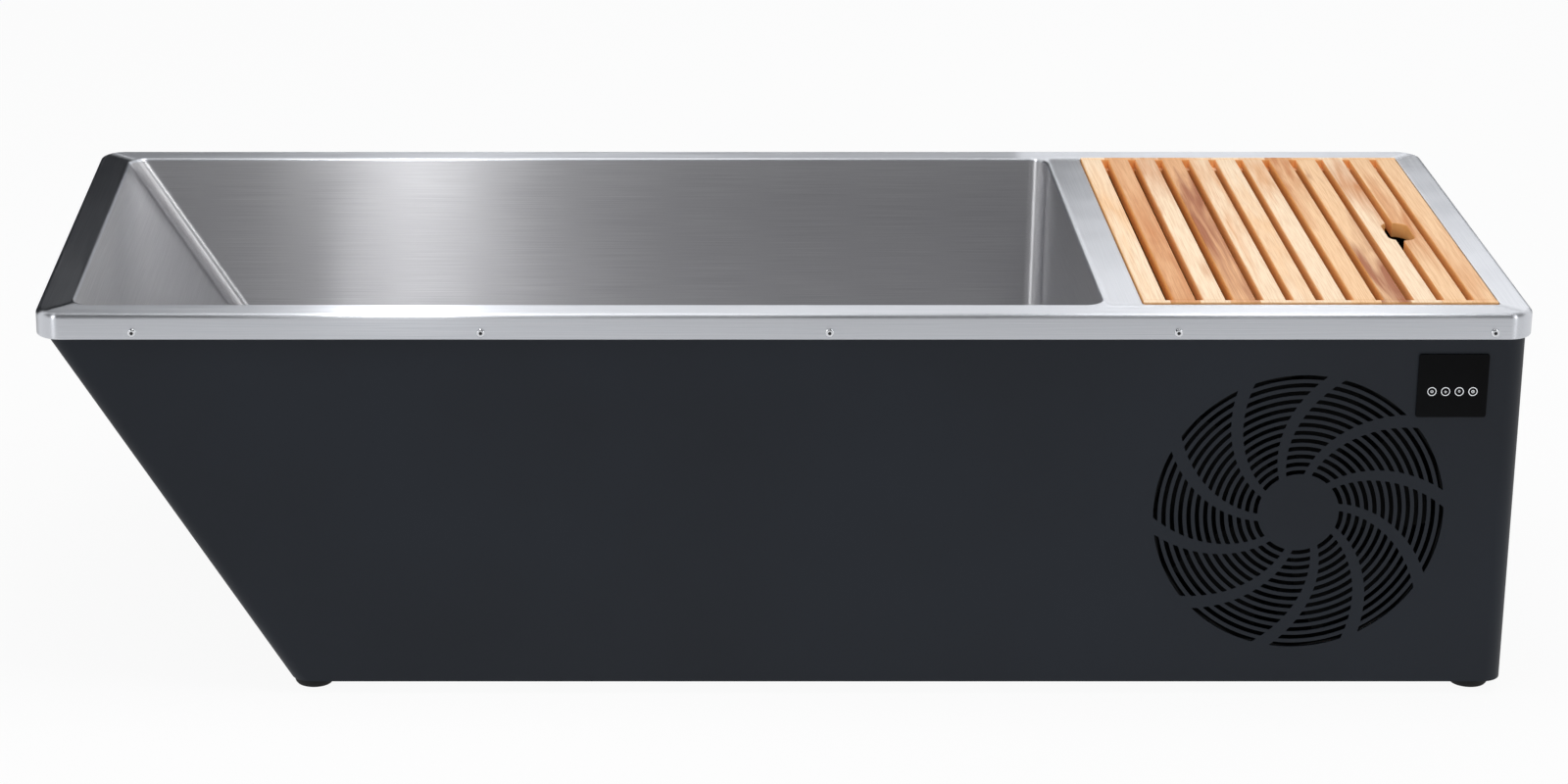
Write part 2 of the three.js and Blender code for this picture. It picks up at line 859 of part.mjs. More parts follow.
// The shroud's arms carry the motor's can, with the rotor's shaft in its bore
function makeShroud() {
  const tube = turnedAlongY(pipe(shroudBore, shroudRadius, bay.front + gap, condenserFront - gap));
  const canRear = bracketFront + fanMotorLength;
  const can = turnedAlongY([
    [0, bracketFront + fanMotorLength / 2],
    [fanShaftRadius + gap, bracketFront + fanMotorLength / 2],
    [fanShaftRadius + gap, bracketFront],
    [fanMotorRadius, bracketFront],
    [fanMotorRadius, canRear - motorBell],
    [fanMotorRadius - motorBell, canRear],
    [0, canRear],
  ]);
  const half = bracketArmWidth / 2;
  const reach = shroudBore + sheet / 2;
  const inner = fanMotorRadius - half;
  const bracketRear = bracketFront + bracketThickness;
  const armsOut = [
    block(inner, reach, bracketFront, bracketRear, -half, half),
    block(-reach, -inner, bracketFront, bracketRear, -half, half),
    block(-half, half, bracketFront, bracketRear, inner, reach),
    block(-half, half, bracketFront, bracketRear, -reach, -inner),
  ];
  const body = joined(tube, can, ...armsOut).translate([grilleX, 0, grilleZ]);
  return piece('fan_shroud', body, blackPlastic);
}

// A blade: a plate from inside the hub to the tip circle, turned to its pitch
function fanBlade(angle) {
  const root = fanHubRadius - 2 * fanBladeThickness;
  const leading = Array.from({ length: bladeSegments + 1 }, (_, i) => {
    const share = i / bladeSegments;
    return [THREE.MathUtils.lerp(root, fanRadius, share), fanBladeWidth / 2 + fanBladeSweep * share];
  });
  const trailing = leading.map(([radius, turn]) => [radius, turn - fanBladeWidth]).reverse();
  const rims = [...leading, ...trailing];
  const flat = polygon(rims.map(([radius, turn]) => [radius * Math.cos(turn), radius * Math.sin(turn)]));
  const plate = facing(flat, -fanBladeThickness / 2, fanBladeThickness / 2);
  const point = plate.attributes.position;
  const rise = fanDepth - 2 * fanBladeThickness;
  for (let i = 0; i < point.count; i += 1) {
    const turn = Math.atan2(point.getZ(i), point.getX(i));
    point.setY(i, point.getY(i) + (rise * turn) / (fanBladeWidth + fanBladeSweep));
  }
  plate.computeBoundingBox();
  const middle = (plate.boundingBox.min.y + plate.boundingBox.max.y) / 2;
  return plate.translate(0, fanFront + fanDepth / 2 - middle, 0).rotateY(angle);
}

function makeFanRotor() {
  const hub = turnedAlongY([
    [0, fanFront],
    [fanHubRadius - fanHubDome, fanFront],
    [fanHubRadius, fanFront + fanHubDome],
    [fanHubRadius, fanFront + fanDepth],
    [fanShaftRadius, fanFront + fanDepth],
    [fanShaftRadius, bracketFront + fanMotorLength / 2 - gap],
    [0, bracketFront + fanMotorLength / 2 - gap],
  ]);
  const blades = Array.from({ length: fanBlades }, (_, i) => fanBlade((i * 4 * quarter) / fanBlades));
  const rotor = piece('fan_rotor', joined(hub, ...blades), blackPlastic);
  rotor.position.set(grilleX, 0, grilleZ);
  return rotor;
}

const condenserLeft = grilleX - shroudRadius;
const condenserRight = grilleX + shroudRadius;
const condenserTop = grilleZ + shroudRadius;
const condenserBottom = grilleZ - shroudRadius;
const gasInX = condenserLeft + condenserStubInset;
const gasInZ = condenserTop - condenserStubInset;
const liquidOutX = condenserRight - condenserStubInset;
const liquidOutZ = condenserBottom + condenserStubInset;

function makeCondenser() {
  let core = solid(
    block(condenserLeft, condenserRight, condenserFront, condenserRear, condenserBottom, condenserTop),
  );
  const finPitch = (condenserTop - condenserBottom) / condenserFins;
  for (let i = 0; i < condenserFins; i += 1) {
    const bottom = condenserBottom + (i + 1 / 2) * finPitch - finGroove / 2;
    const groove = block(
      condenserLeft + condenserPlate,
      condenserRight - condenserPlate,
      condenserRear - finGrooveDepth,
      condenserRear + sheet,
      bottom,
      bottom + finGroove,
    );
    core = core.subtract(solid(groove));
  }
  const plates = [condenserLeft - condenserPlate, condenserRight].map((x) =>
    block(x, x + condenserPlate, condenserFront, condenserRear, frameBottom, condenserTop),
  );
  const stubProfile = rod(stubRadius, condenserRear - finGrooveDepth - bite, condenserRear + stubLength);
  const stub = turnedAlongY(stubProfile, smallSegments);
  const upper = stub.clone().translate(gasInX, 0, gasInZ);
  const lower = stub.translate(liquidOutX, 0, liquidOutZ);
  return piece('condenser', core.add(joined(...plates, upper, lower)), aluminium);
}

// Controls on the front panel

function makeControlPanel() {
  const bezel = facing(controlOutline(0, controlCorner), controlFace, controlFace + controlProud);
  const housing = facing(
    controlOutline(controlHousingInset, controlCorner),
    controlFace + controlProud / 2,
    controlFace + controlHousingDepth,
  );
  let body = joined(bezel, housing);
  for (const x of buttonPlaces()) {
    const depth = buttonLength - buttonProud + buttonTravel + gap;
    const bore = turnedAlongY(rod(buttonRadius + gap, -sheet, depth), smallSegments);
    body = body.subtract(solid(bore.translate(x, controlFace, controlZ - buttonDrop)));
  }
  return piece('control_panel', body, gloss);
}

function buttonPlaces() {
  const first = controlX - ((buttonCount - 1) * buttonPitch) / 2;
  return Array.from({ length: buttonCount }, (_, i) => first + i * buttonPitch);
}

function makeButtons() {
  const profile = [
    [0, -buttonProud],
    [buttonRadius - buttonProud, -buttonProud],
    [buttonRadius, 0],
    [buttonRadius, buttonLength - buttonProud],
    [0, buttonLength - buttonProud],
  ];
  return buttonPlaces().map((x, i) => {
    const button = piece(`button_${i + 1}`, turnedAlongY(profile, smallSegments), gloss);
    button.position.set(x, controlFace, controlZ - buttonDrop);
    return button;
  });
}

function makeController() {
  const plan = {
    left: bay.right - gap - controllerDepth,
    right: bay.right - gap,
    front: -controllerLength / 2,
    rear: controllerLength / 2,
  };
  const top = deckHeight - controllerDrop;
  const box = upright(roundedRect(plan, controlCorner), top - controllerHeight, top);
  return piece('controller_box', box, greyPlastic);
}

function makePowerInlet() {
  const face = casing.rear + gap + inletProud;
  const shell = facing(inletOutline(0), casing.rear - inletDepth, face);
  const rim = facing(inletOutline(inletRim), casing.rear + gap, face);
  const recess = facing(inletOutline(-inletRim), face - inletRecess, face + bite);
  return piece('power_inlet', joined(shell, rim).subtract(solid(recess)), blackPlastic);
}

// Water circuit: suction fitting, filter, pump, heat exchanger and return, all on one line where they can be

function makeSuctionFitting() {
  const face = basin.right - gap;
  const end = filterX - filterRadius + filterWall - gap;
  const profile = [
    [spigotBore, face - flangeThickness],
    [flangeRadius, face - flangeThickness],
    [flangeRadius, face],
    [spigotRadius, face],
    [spigotRadius, end],
    [spigotBore, end],
    [spigotBore, face - flangeThickness],
  ];
  const fitting = piece('suction_fitting', turnedAlongX(profile), whitePlastic);
  fitting.position.set(0, waterLineY, waterLineZ);
  return fitting;
}

function makeFilterHousing() {
  const bottom = frameSeat;
  const inside = filterRadius - filterWall;
  const cup = turned([
    [0, bottom],
    [filterRadius, bottom],
    [filterRadius, filterTop],
    [inside, filterTop],
    [inside, bottom + filterWall],
    [0, bottom + filterWall],
  ]).translate(filterX, waterLineY, 0);
  const socketLeft = filterX - filterRadius - socketGrip;
  const inlet = turnedAlongX(rod(socketRadius, socketLeft, filterX - inside - bite));
  const outlet = turnedAlongX(rod(spigotRadius, filterX + inside + bite, voluteLeft - socketGrip));
  const inletBore = turnedAlongX(rod(spigotRadius + gap, socketLeft - bite, filterX - inside + 2 * bite));
  const outletBore = turnedAlongX(rod(spigotBore, filterX + inside - 2 * bite, voluteLeft));
  let body = solid(cup);
  for (const added of [inlet, outlet]) body = body.add(solid(added.translate(0, waterLineY, waterLineZ)));
  for (const bore of [inletBore, outletBore]) {
    body = body.subtract(solid(bore.translate(0, waterLineY, waterLineZ)));
  }
  return piece('filter_housing', body, greyPlastic);
}

function makeFilterCartridge() {
  const bottom = frameSeat + filterWall + gap;
  const radius = filterRadius - filterWall - cartridgeClearance;
  const tube = turned(pipe(cartridgeBore, radius, bottom, filterTop - filterWall));
  const cartridge = piece('filter_cartridge', tube, paper);
  cartridge.position.set(filterX, waterLineY, 0);
  return cartridge;
}

function makeFilterCap() {
  const skirtInner = filterRadius + capClearance;
  const skirtOuter = skirtInner + capWall;
  const underside = filterTop + gap;
  const top = underside + capWall;
  const shell = turned([
    [0, underside],
    [skirtInner, underside],
    [skirtInner, filterTop - capSkirt],
    [skirtOuter, filterTop - capSkirt],
    [skirtOuter, top],
    [0, top],
  ]);
  const half = capGripWidth / 2;
  const grip = block(-skirtInner, skirtInner, -half, half, top - bite, top + capGripHeight);
  const cap = piece('filter_cap', joined(shell, grip), blackPlastic);
  cap.position.set(filterX, waterLineY, 0);
  return cap;
}

// The volute, with the motor's can behind it in one moulding
function makePumpBody() {
  const socketLeft = voluteLeft - 2 * socketGrip + gap;
  const cavityLeft = voluteLeft + voluteWall;
  const cavityRight = voluteRight - voluteWall;
  const shell = turnedAlongX(rod(voluteRadius, voluteLeft, voluteRight));
  const socket = turnedAlongX(rod(socketRadius, socketLeft, voluteLeft + bite));
  const cavity = turnedAlongX(rod(voluteRadius - voluteWall, cavityLeft, cavityRight));
  const socketEnd = voluteLeft - socketGrip + bite + gap;
  const socketBore = turnedAlongX(rod(spigotRadius + gap, socketLeft - bite, socketEnd));
  const eye = turnedAlongX(rod(spigotBore, socketLeft, cavityLeft + bite));
  const shaftHole = turnedAlongX(rod(pumpShaftRadius + gap, cavityRight - bite, voluteRight + bite));
  const outletTop = exchangerRise - exchangerRadius - gap;
  const outlet = turned(rod(spigotRadius, voluteRadius / 2, outletTop)).translate(outletX, 0, 0);
  const outletBore = turned(rod(spigotBore, voluteRadius / 2, outletTop + bite)).translate(outletX, 0, 0);
  const canEnd = pumpMotorLeft + pumpMotorLength;
  const canBore = pumpMotorLeft + pumpMotorLength / 3;
  const can = turnedAlongX([
    [0, canBore],
    [pumpShaftRadius + gap, canBore],
    [pumpShaftRadius + gap, pumpMotorLeft],
    [pumpMotorRadius, pumpMotorLeft],
    [pumpMotorRadius, canEnd - motorBell],
    [pumpMotorRadius - motorBell, canEnd],
    [0, canEnd],
  ]);
  const footHalf = voluteRadius / 2;
  const foot = block(voluteLeft, voluteRight, -footHalf, footHalf, frameBottom - waterLineZ, -footHalf);
  const hollow = joined(cavity, socketBore, eye, shaftHole, outletBore);
  const body = joined(shell, socket, outlet, foot, can).subtract(hollow);
  return piece('pump_body', body.translate([0, waterLineY, waterLineZ]), blackPlastic);
}

function makePumpImpeller() {
  const left = voluteLeft + voluteWall + pumpClearance;
  const right = voluteRight - voluteWall - pumpClearance;
  const radius = voluteRadius - voluteWall - impellerTipClearance;
  const plate = turnedAlongX(rod(radius, right - impellerDisc, right));
  const shaft = turnedAlongX(rod(pumpShaftRadius, left, pumpMotorLeft + pumpMotorLength / 3 - gap));
  const half = impellerVaneWidth / 2;
  const vanes = Array.from({ length: impellerVanes }, (_, i) =>
    block(left, right - bite, -half, half, 0, radius - bite).rotateX((i * 4 * quarter) / impellerVanes),
  );
  const impeller = piece('pump_impeller', joined(plate, shaft, ...vanes), whitePlastic);
  impeller.position.set(0, waterLineY, waterLineZ);
  return impeller;
}

// Ports along the front of the heat exchanger: gas out, water out and liquid in
const portY = waterLineY - exchangerRadius - stubLength;
const gasPortX = exchangerLeft + portInset;
const waterPortX = exchangerLeft + exchangerLength / 2;
const liquidPortX = exchangerRight - portInset;

function makeHeatExchanger() {
  const shell = turnedAlongX([
    [0, exchangerLeft],
    [exchangerRadius - exchangerBell, exchangerLeft],
    [exchangerRadius, exchangerLeft + exchangerBell],
    [exchangerRadius, exchangerRight - exchangerBell],
    [exchangerRadius - exchangerBell, exchangerRight],
    [0, exchangerRight],
  ]).translate(0, waterLineY, exchangerZ);
  const port = (radius, x) => {
    const tube = turnedAlongY(rod(radius, portY, waterLineY), smallSegments);
    return tube.translate(x, 0, exchangerZ);
  };
  const refrigerantPorts = [port(stubRadius, gasPortX), port(stubRadius, liquidPortX)];
  const body = joined(shell, port(spigotRadius, waterPortX), ...refrigerantPorts);
  return piece('heat_exchanger', body, blackPlastic);
}

function makeReturnNozzle() {
  const face = basin.right - gap;
  const end = bay.left + returnReach;
  const profile = [
    [spigotBore, face - nozzleDome - bite],
    [nozzleFace, face - nozzleDome - bite],
    [flangeRadius, face - bite],
    [flangeRadius, face],
    [spigotRadius, face],
    [spigotRadius, end],
    [spigotBore, end],
    [spigotBore, face - nozzleDome - bite],
  ];
  const nozzle = piece('return_nozzle', turnedAlongX(profile), whitePlastic);
  nozzle.position.set(0, returnY, returnZ);
  return nozzle;
}

// A tube that leaves one point in a given direction and arrives at another, bending evenly between them
function bentTube(section, start, leaving, end, arriving) {
  const from = new THREE.Vector3(...start);
  const to = new THREE.Vector3(...end);
  const reach = bendReach * from.distanceTo(to);
  const handle = (point, direction) => new THREE.Vector3(...direction).multiplyScalar(reach).add(point);
  const path = new THREE.CubicBezierCurve3(from, handle(from, leaving), handle(to, arriving), to);
  const settings = { steps: lineSteps, extrudePath: path, bevelEnabled: false };
  return new THREE.ExtrudeGeometry(section, settings);
}

function disc(radius, sides, bore = 0) {
  const circle = (r) => Array.from({ length: sides }, (_, i) => {
    const angle = (i * 4 * quarter) / sides;
    return new THREE.Vector2(r * Math.cos(angle), r * Math.sin(angle));
  });
  const shape = new THREE.Shape(circle(radius));
  if (bore > 0) shape.holes.push(new THREE.Path(circle(bore)));
  return shape;
}

function makeReturnHose() {
  const start = [waterPortX, portY - gap, exchangerZ];
  const end = [bay.left + returnReach + gap, returnY, returnZ];
  const section = disc(spigotRadius, lineSides, spigotBore);
  return piece('return_hose', bentTube(section, start, [0, -1, 0], end, [1, 0, 0]), rubber);
}

function makeDrain() {
  const seat = basinFloor + gap;
  const bottom = footHeight - drainReach;
  const fitting = turned([
    [drainBore, bottom],
    [drainRadius, bottom],
    [drainRadius, seat],
    [drainFlange, seat],
    [drainFlange, seat + flangeThickness],
    [drainBore, seat + flangeThickness],
    [drainBore, bottom],
  ]);
  const top = seat + flangeThickness;
  const plug = turned([
    [0, top - plugKnobHeight],
    [drainBore - 2 * gap, top - plugKnobHeight],
    [drainBore - gap, top + gap],
    [drainBore + plugLip, top + gap],
    [drainBore + plugLip, top + gap + flangeThickness],
    [plugKnobRadius, top + gap + flangeThickness],
    [plugKnobRadius, top + gap + plugKnobHeight],
    [0, top + gap + plugKnobHeight],
  ]);
  const pieces = [piece('drain_fitting', fitting, stainless), piece('drain_plug', plug, rubber)];
  for (const part of pieces) part.position.set(drainX, 0, 0);
  return pieces;
}

// Refrigerant circuit

const suctionZ = compressorTop - 2 * compressorCrown;

function makeCompressor() {
  const bottom = frameBottom;
  const can = turned([
    [0, bottom],
    [compressorFlange, bottom],
    [compressorFlange, bottom + 2 * sheet],
    [compressorRadius, bottom + 4 * sheet],
    [compressorRadius, compressorTop - compressorCrown],
    [compressorRadius - compressorShoulder, compressorTop - compressorShoulder + 2 * sheet],
    [compressorRadius - compressorCrown, compressorTop],
    [stubRadius, compressorTop],
    [stubRadius, compressorTop + stubLength],
    [0, compressorTop + stubLength],
  ]);
  const stub = turnedAlongY(rod(stubRadius, 0, compressorRadius + stubLength), smallSegments);
  const body = joined(can, stub.translate(0, 0, suctionZ));
  return piece('compressor', body.translate([compressorX, compressorY, 0]), blackPlastic);
}

function makeRefrigerantLines() {
  const section = disc(lineRadius, lineSides);
  const condenserEnd = condenserRear + stubLength + gap;
  const gasIn = [gasInX, condenserEnd, gasInZ];
  const liquidOut = [liquidOutX, condenserEnd, liquidOutZ];
  const discharge = [compressorX, compressorY, compressorTop + stubLength + gap];
  const suction = [compressorX, compressorY + compressorRadius + stubLength + gap, suctionZ];
  const liquidPort = [liquidPortX, portY - gap, exchangerZ];
  const gasPort = [gasPortX, portY - gap, exchangerZ];
  const forwards = [0, -1, 0];
  const backwards = [0, 1, 0];
  const up = [0, 0, 1];
  return [
    piece('discharge_line', bentTube(section, discharge, up, gasIn, backwards), copper),
    piece('liquid_line', bentTube(section, liquidOut, backwards, liquidPort, forwards), copper),
    piece('gas_return_line', bentTube(section, gasPort, forwards, suction, backwards), copper),
  ];
}

// Assembly

function group(...children) {
  const made = new THREE.Group();
  made.add(...children);
  return made;
}

const casingGroup = group(
  makeFrontPanel(),
  makeRearPanel(),
  makeEndPanel('left_end_panel', casing.left, 1),
  makeEndPanel('right_end_panel', casing.right, -1),
  makeTray(),
  makeFrame(),
  makeBulkhead(),
  ...makeFeet(),
);
const tubGroup = group(makeDeck(), ...makeScrews(), ...makeBasin(), makeInsulation(), ...makeDrain());
const lidGroup = group(...makeSlats(), makeRail('lid_rail_front', -1), makeRail('lid_rail_rear', 1));
const controlGroup = group(makeControlPanel(), ...makeButtons(), makeController(), makePowerInlet());
const waterGroup = group(
  makeSuctionFitting(),
  makeFilterHousing(),
  makeFilterCartridge(),
  makeFilterCap(),
  makePumpBody(),
  makePumpImpeller(),
  makeHeatExchanger(),
  makeReturnNozzle(),
  makeReturnHose(),
);
const coolingGroup = group(
  makeShroud(),
  makeFanRotor(),
  makeCondenser(),
  makeCompressor(),
  ...makeRefrigerantLines(),
);

export default group(casingGroup, tubGroup, lidGroup, controlGroup, waterGroup, coolingGroup);
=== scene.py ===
# %% [markdown]
# # A cold plunge tub
# The tub is a stainless basin and deck on an anthracite casing, with a slatted wooden lid over its
# chiller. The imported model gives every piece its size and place, in metres. This lesson dresses it:
# the pieces that show are rebuilt with finer shapes, and each surface gets the finish it really has.

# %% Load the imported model
import json
import math

import bmesh
import bpy
from mathutils import Matrix, Vector
from mathutils.geometry import delaunay_2d_cdt


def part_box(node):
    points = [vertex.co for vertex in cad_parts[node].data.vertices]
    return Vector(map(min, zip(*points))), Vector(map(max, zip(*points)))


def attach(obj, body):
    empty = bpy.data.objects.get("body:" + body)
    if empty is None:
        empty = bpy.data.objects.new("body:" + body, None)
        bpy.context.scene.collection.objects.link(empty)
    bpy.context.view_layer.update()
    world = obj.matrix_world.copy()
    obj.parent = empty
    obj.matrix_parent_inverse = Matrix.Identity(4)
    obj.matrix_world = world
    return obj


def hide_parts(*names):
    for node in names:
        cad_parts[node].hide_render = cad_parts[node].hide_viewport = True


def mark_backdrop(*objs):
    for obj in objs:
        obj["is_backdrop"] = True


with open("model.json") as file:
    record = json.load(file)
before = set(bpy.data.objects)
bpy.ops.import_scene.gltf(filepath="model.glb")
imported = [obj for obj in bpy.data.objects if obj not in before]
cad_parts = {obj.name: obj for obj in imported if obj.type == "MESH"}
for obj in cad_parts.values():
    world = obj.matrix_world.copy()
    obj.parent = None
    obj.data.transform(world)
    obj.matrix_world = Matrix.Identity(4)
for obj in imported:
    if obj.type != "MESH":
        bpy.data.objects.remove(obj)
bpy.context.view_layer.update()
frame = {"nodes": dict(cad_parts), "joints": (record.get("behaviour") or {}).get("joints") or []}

MM = 0.001
nodes = frame["nodes"]
print("loaded", len(nodes), "nodes")

# %% [markdown]
# ## Colours and shader nodes
# A colour picker gives hex values as a screen shows them, but a shader works in linear light, so one
# function turns the first into the second. Materials could be clicked together in the editor. Here one
# more function adds a node with its settings and links, so that each recipe can be read from top to end.

# %% Colours and shader nodes


def linear(code):
    """A hex sRGB colour as linear RGBA."""
    channels = [int(code[i:i + 2], 16) / 255 for i in (1, 3, 5)]
    return [c / 12.92 if c <= 0.04045 else ((c + 0.055) / 1.055) ** 2.4 for c in channels] + [1.0]


def add(tree, kind, inputs=None, stops=None, **settings):
    """Adds a shader node. An input is a value, or a node and the name of its output."""
    node = tree.nodes.new(kind)
    for name, value in settings.items():
        setattr(node, name, value)
    for name, value in (inputs or {}).items():
        if isinstance(value, tuple) and isinstance(value[0], bpy.types.Node):
            tree.links.new(value[0].outputs[value[1]], node.inputs[name])
        else:
            node.inputs[name].default_value = value
    if stops:
        ramp = node.color_ramp
        while len(ramp.elements) < len(stops):
            ramp.elements.new(1.0)
        for element, (place, colour) in zip(ramp.elements, stops):
            element.position = place
            element.color = colour
    return node


def new_material(name):
    """A material with nothing but its output, and the tree to build it in."""
    material = bpy.data.materials.new(name)
    material.use_nodes = True
    material.node_tree.nodes.clear()
    return material, material.node_tree


def show(tree, shader, output="BSDF"):
    """Links the last shader to the material's output."""
    add(tree, "ShaderNodeOutputMaterial", {"Surface": (shader, output)})


print("half grey on a screen is", round(linear("#808080")[0], 3), "in linear light")

# %% [markdown]
# ## Camera
# The picture looks down on the front from a little above, through a long lens. A camera that turns to
# the middle of the tub would tilt its long edges. So this one looks straight along Y and its lens is
# shifted sideways, as on a technical camera, which keeps the front edge level.

# %% Camera
PHOTO_WIDTH = 1600
FOCAL_PIXELS = 3970
SENSOR = 36.0
PITCH = math.radians(18.1)
CAMERA_PLACE = (-0.2618, -5.311, 2.156)
LENS_SHIFT = (0.125, -0.05)
FAR_CLIP = 100

camera_data = bpy.data.cameras.new("camera")
camera_data.sensor_width = SENSOR
camera_data.lens = FOCAL_PIXELS / PHOTO_WIDTH * SENSOR
camera_data.shift_x, camera_data.shift_y = LENS_SHIFT
camera_data.clip_end = FAR_CLIP
camera = bpy.data.objects.new("camera", camera_data)
camera.location = CAMERA_PLACE
camera.rotation_euler = (math.pi / 2 - PITCH, 0, 0)
bpy.context.scene.collection.objects.link(camera)
bpy.context.scene.camera = camera
bpy.context.scene.view_settings.view_transform = "Standard"
print("lens", round(camera_data.lens, 1), "mm")

# %% [markdown]
# ## World
# A white studio wall should look white without flooding the tub with light. A brighter world would do
# the first and spoil the second. So the world asks what kind of ray it meets: rays that show in the
# picture or in a mirror see plain white, and rays that only carry light meet a dimmer fill.

# %% World
WORLD_FILL = 0.55


def seen_rays(tree):
    """1 for rays that show in the picture or in a reflection, 0 for rays that only carry light."""
    path = add(tree, "ShaderNodeLightPath")
    seen = (path, "Is Camera Ray")
    for kind in ("Is Glossy Ray", "Is Transmission Ray"):
        either = add(tree, "ShaderNodeMath", {0: seen, 1: (path, kind)}, operation="MAXIMUM")
        seen = (either, "Value")
    return seen


world = bpy.data.worlds.new("studio")
bpy.context.scene.world = world
world.use_nodes = True
sky = world.node_tree
sky.nodes.clear()
dim = add(sky, "ShaderNodeBackground", {"Color": linear("#f2f4f7"), "Strength": WORLD_FILL})
white = add(sky, "ShaderNodeBackground", {"Color": linear("#ffffff"), "Strength": 1.0})
mixed = add(sky, "ShaderNodeMixShader", {
    0: seen_rays(sky), 1: (dim, "Background"), 2: (white, "Background")})
add(sky, "ShaderNodeOutputWorld", {"Surface": (mixed, "Shader")})
print("world fill", WORLD_FILL)

# %% [markdown]
# ## Floor
# The floor runs into the white wall, but it has to keep the tub's soft shadow. A glowing floor would lose
# the shadow and a plain matt one would turn grey. A mix of the two, mostly glow, keeps both.

# %% Floor
FLOOR_SIZE = 30
GLOW_SHARE = 0.93


def from_bmesh(name, bm):
    """An object in the scene, made from an edit mesh."""
    mesh = bpy.data.meshes.new(name)
    bm.to_mesh(mesh)
    bm.free()
    obj = bpy.data.objects.new(name, mesh)
    bpy.context.scene.collection.objects.link(obj)
    return obj


floor_bm = bmesh.new()
bmesh.ops.create_grid(floor_bm, x_segments=1, y_segments=1, size=FLOOR_SIZE)
floor = from_bmesh("floor", floor_bm)
floor_paint, tree = new_material("floor_paint")
# Matt white paint: flat, without any highlight.
matt = add(tree, "ShaderNodeBsdfDiffuse", {"Color": linear("#f4f4f4")})
glow = add(tree, "ShaderNodeEmission", {"Color": linear("#ffffff"), "Strength": 1.0})
share = add(tree, "ShaderNodeMath", {0: seen_rays(tree), 1: GLOW_SHARE}, operation="MULTIPLY")
lit = add(tree, "ShaderNodeMixShader", {
    0: (share, "Value"), 1: (matt, "BSDF"), 2: (glow, "Emission")})
show(tree, lit, "Shader")
floor.data.materials.append(floor_paint)
print("floor", floor.dimensions.x, "m wide")

# %% [markdown]
# ## Lamps
# A product studio lights with large soft boxes. Points or suns would leave hard spots on the steel. One
# box hangs overhead, one fills the lid, a narrow one reaches into the basin and one stands behind. Two
# tall strips at the front are there for the steel's bends alone, so matt surfaces don't get their light.

# %% Lamps
# Each lamp's name, place, the point it is aimed at, its width and height in metres, and its watts.
LAMPS = (
    ("overhead", (-0.3, -0.2, 3.4), (0.1, 0, 0.5), (2.0, 1.6), 24),
    ("lid_fill", (0.95, -0.3, 2.1), (0.72, 0, 0.55), (0.7, 0.7), 9),
    ("basin_strip", (-0.55, -0.4, 1.2), (-0.52, 0.36, 0.35), (0.14, 0.5), 4.6),
    ("rear", (1.3, 3.8, 2.1), (0.6, 0, 0.55), (2.4, 1.4), 9),
    ("strip_left", (-2.6, -2.6, 2.1), (0.43, 0.34, 0.4), (0.3, 1.5), 26),
    ("strip_right", (2.6, -2.6, 2.1), (-0.7, 0.34, 0.4), (0.3, 1.5), 20),
)
GLOSS_ONLY = ("strip_left", "strip_right")


def softbox(name, place, target, size, power):
    """A rectangular area lamp aimed at a point."""
    data = bpy.data.lights.new(name, "AREA")
    data.shape = "RECTANGLE"
    data.size, data.size_y = size
    data.energy = power
    lamp = bpy.data.objects.new(name, data)
    lamp.location = place
    lamp.rotation_euler = (Vector(target) - Vector(place)).to_track_quat("-Z", "Y").to_euler()
    lamp.visible_camera = False
    lamp.visible_diffuse = name not in GLOSS_ONLY
    bpy.context.scene.collection.objects.link(lamp)
    return lamp


for lamp_row in LAMPS:
    softbox(*lamp_row)
print("lamps", [row[0] for row in LAMPS])

# %% [markdown]
# ## Dark cards
# In a white room steel mirrors nothing but white and looks like paper. Darker paint on it would spoil its
# highlights, so a studio hangs dark cards round it, and these are seen in reflections alone. Two stand
# behind the sloped end and two close behind the rear edge, with a grey one further back. Two in front and
# two overhead leave a gap, which the brushed back wall draws out into one broad bright patch.

# %% Dark cards


def card_paint(name, code):
    """Matt card: one flat tone from every side."""
    material, tree = new_material(name)
    show(tree, add(tree, "ShaderNodeBsdfDiffuse", {"Color": linear(code)}))
    return material


black_card = card_paint("matt_black_card", "#202226")
grey_card = card_paint("matt_grey_card", "#85888f")
# Upright cards: name, left and right end, place in Y, foot and top, and paint.
UPRIGHT_CARDS = (
    ("card_behind", -6, -0.9, 4.2, 0.1, 4.5, black_card),
    ("card_left", -4, -0.6, 1.3, 0.1, 2.2, black_card),
    ("card_near", -0.6, 0.42, 0.6, 0.47, 0.75, black_card),
    ("card_near_right", 0.42, 2.2, 0.72, 0.45, 0.67, black_card),
    ("card_far_right", -0.9, 4.0, 3.0, 0.85, 1.45, grey_card),
    ("card_front_left", -7, -0.98, -6.5, 1.2, 6, black_card),
    ("card_front_right", -0.62, 7, -6.5, 1.2, 6, black_card),
)
# Level cards: name, left and right end, near and far end, and height.
LEVEL_CARDS = (
    ("card_over_left", -7, -0.85, -6.5, 0.2, 3.6),
    ("card_over_right", -0.42, 7, -6.5, 0.2, 3.6),
)


def hang_card(name, corners, paint):
    """A four-cornered card that only reflections see."""
    mesh = bpy.data.meshes.new(name)
    mesh.from_pydata(corners, [], [(0, 1, 2, 3)])
    mesh.materials.append(paint)
    card = bpy.data.objects.new(name, mesh)
    bpy.context.scene.collection.objects.link(card)
    card.visible_camera = False
    card.visible_diffuse = False
    card.visible_shadow = False
    card.visible_transmission = False
    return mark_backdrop(card)


for name, left, right, y, foot, top, paint in UPRIGHT_CARDS:
    hang_card(name, [(left, y, foot), (right, y, foot), (right, y, top), (left, y, top)], paint)
for name, left, right, near, far, z in LEVEL_CARDS:
    hang_card(name, [(left, near, z), (right, near, z), (right, far, z), (left, far, z)], black_card)
print("cards", len(UPRIGHT_CARDS) + len(LEVEL_CARDS))

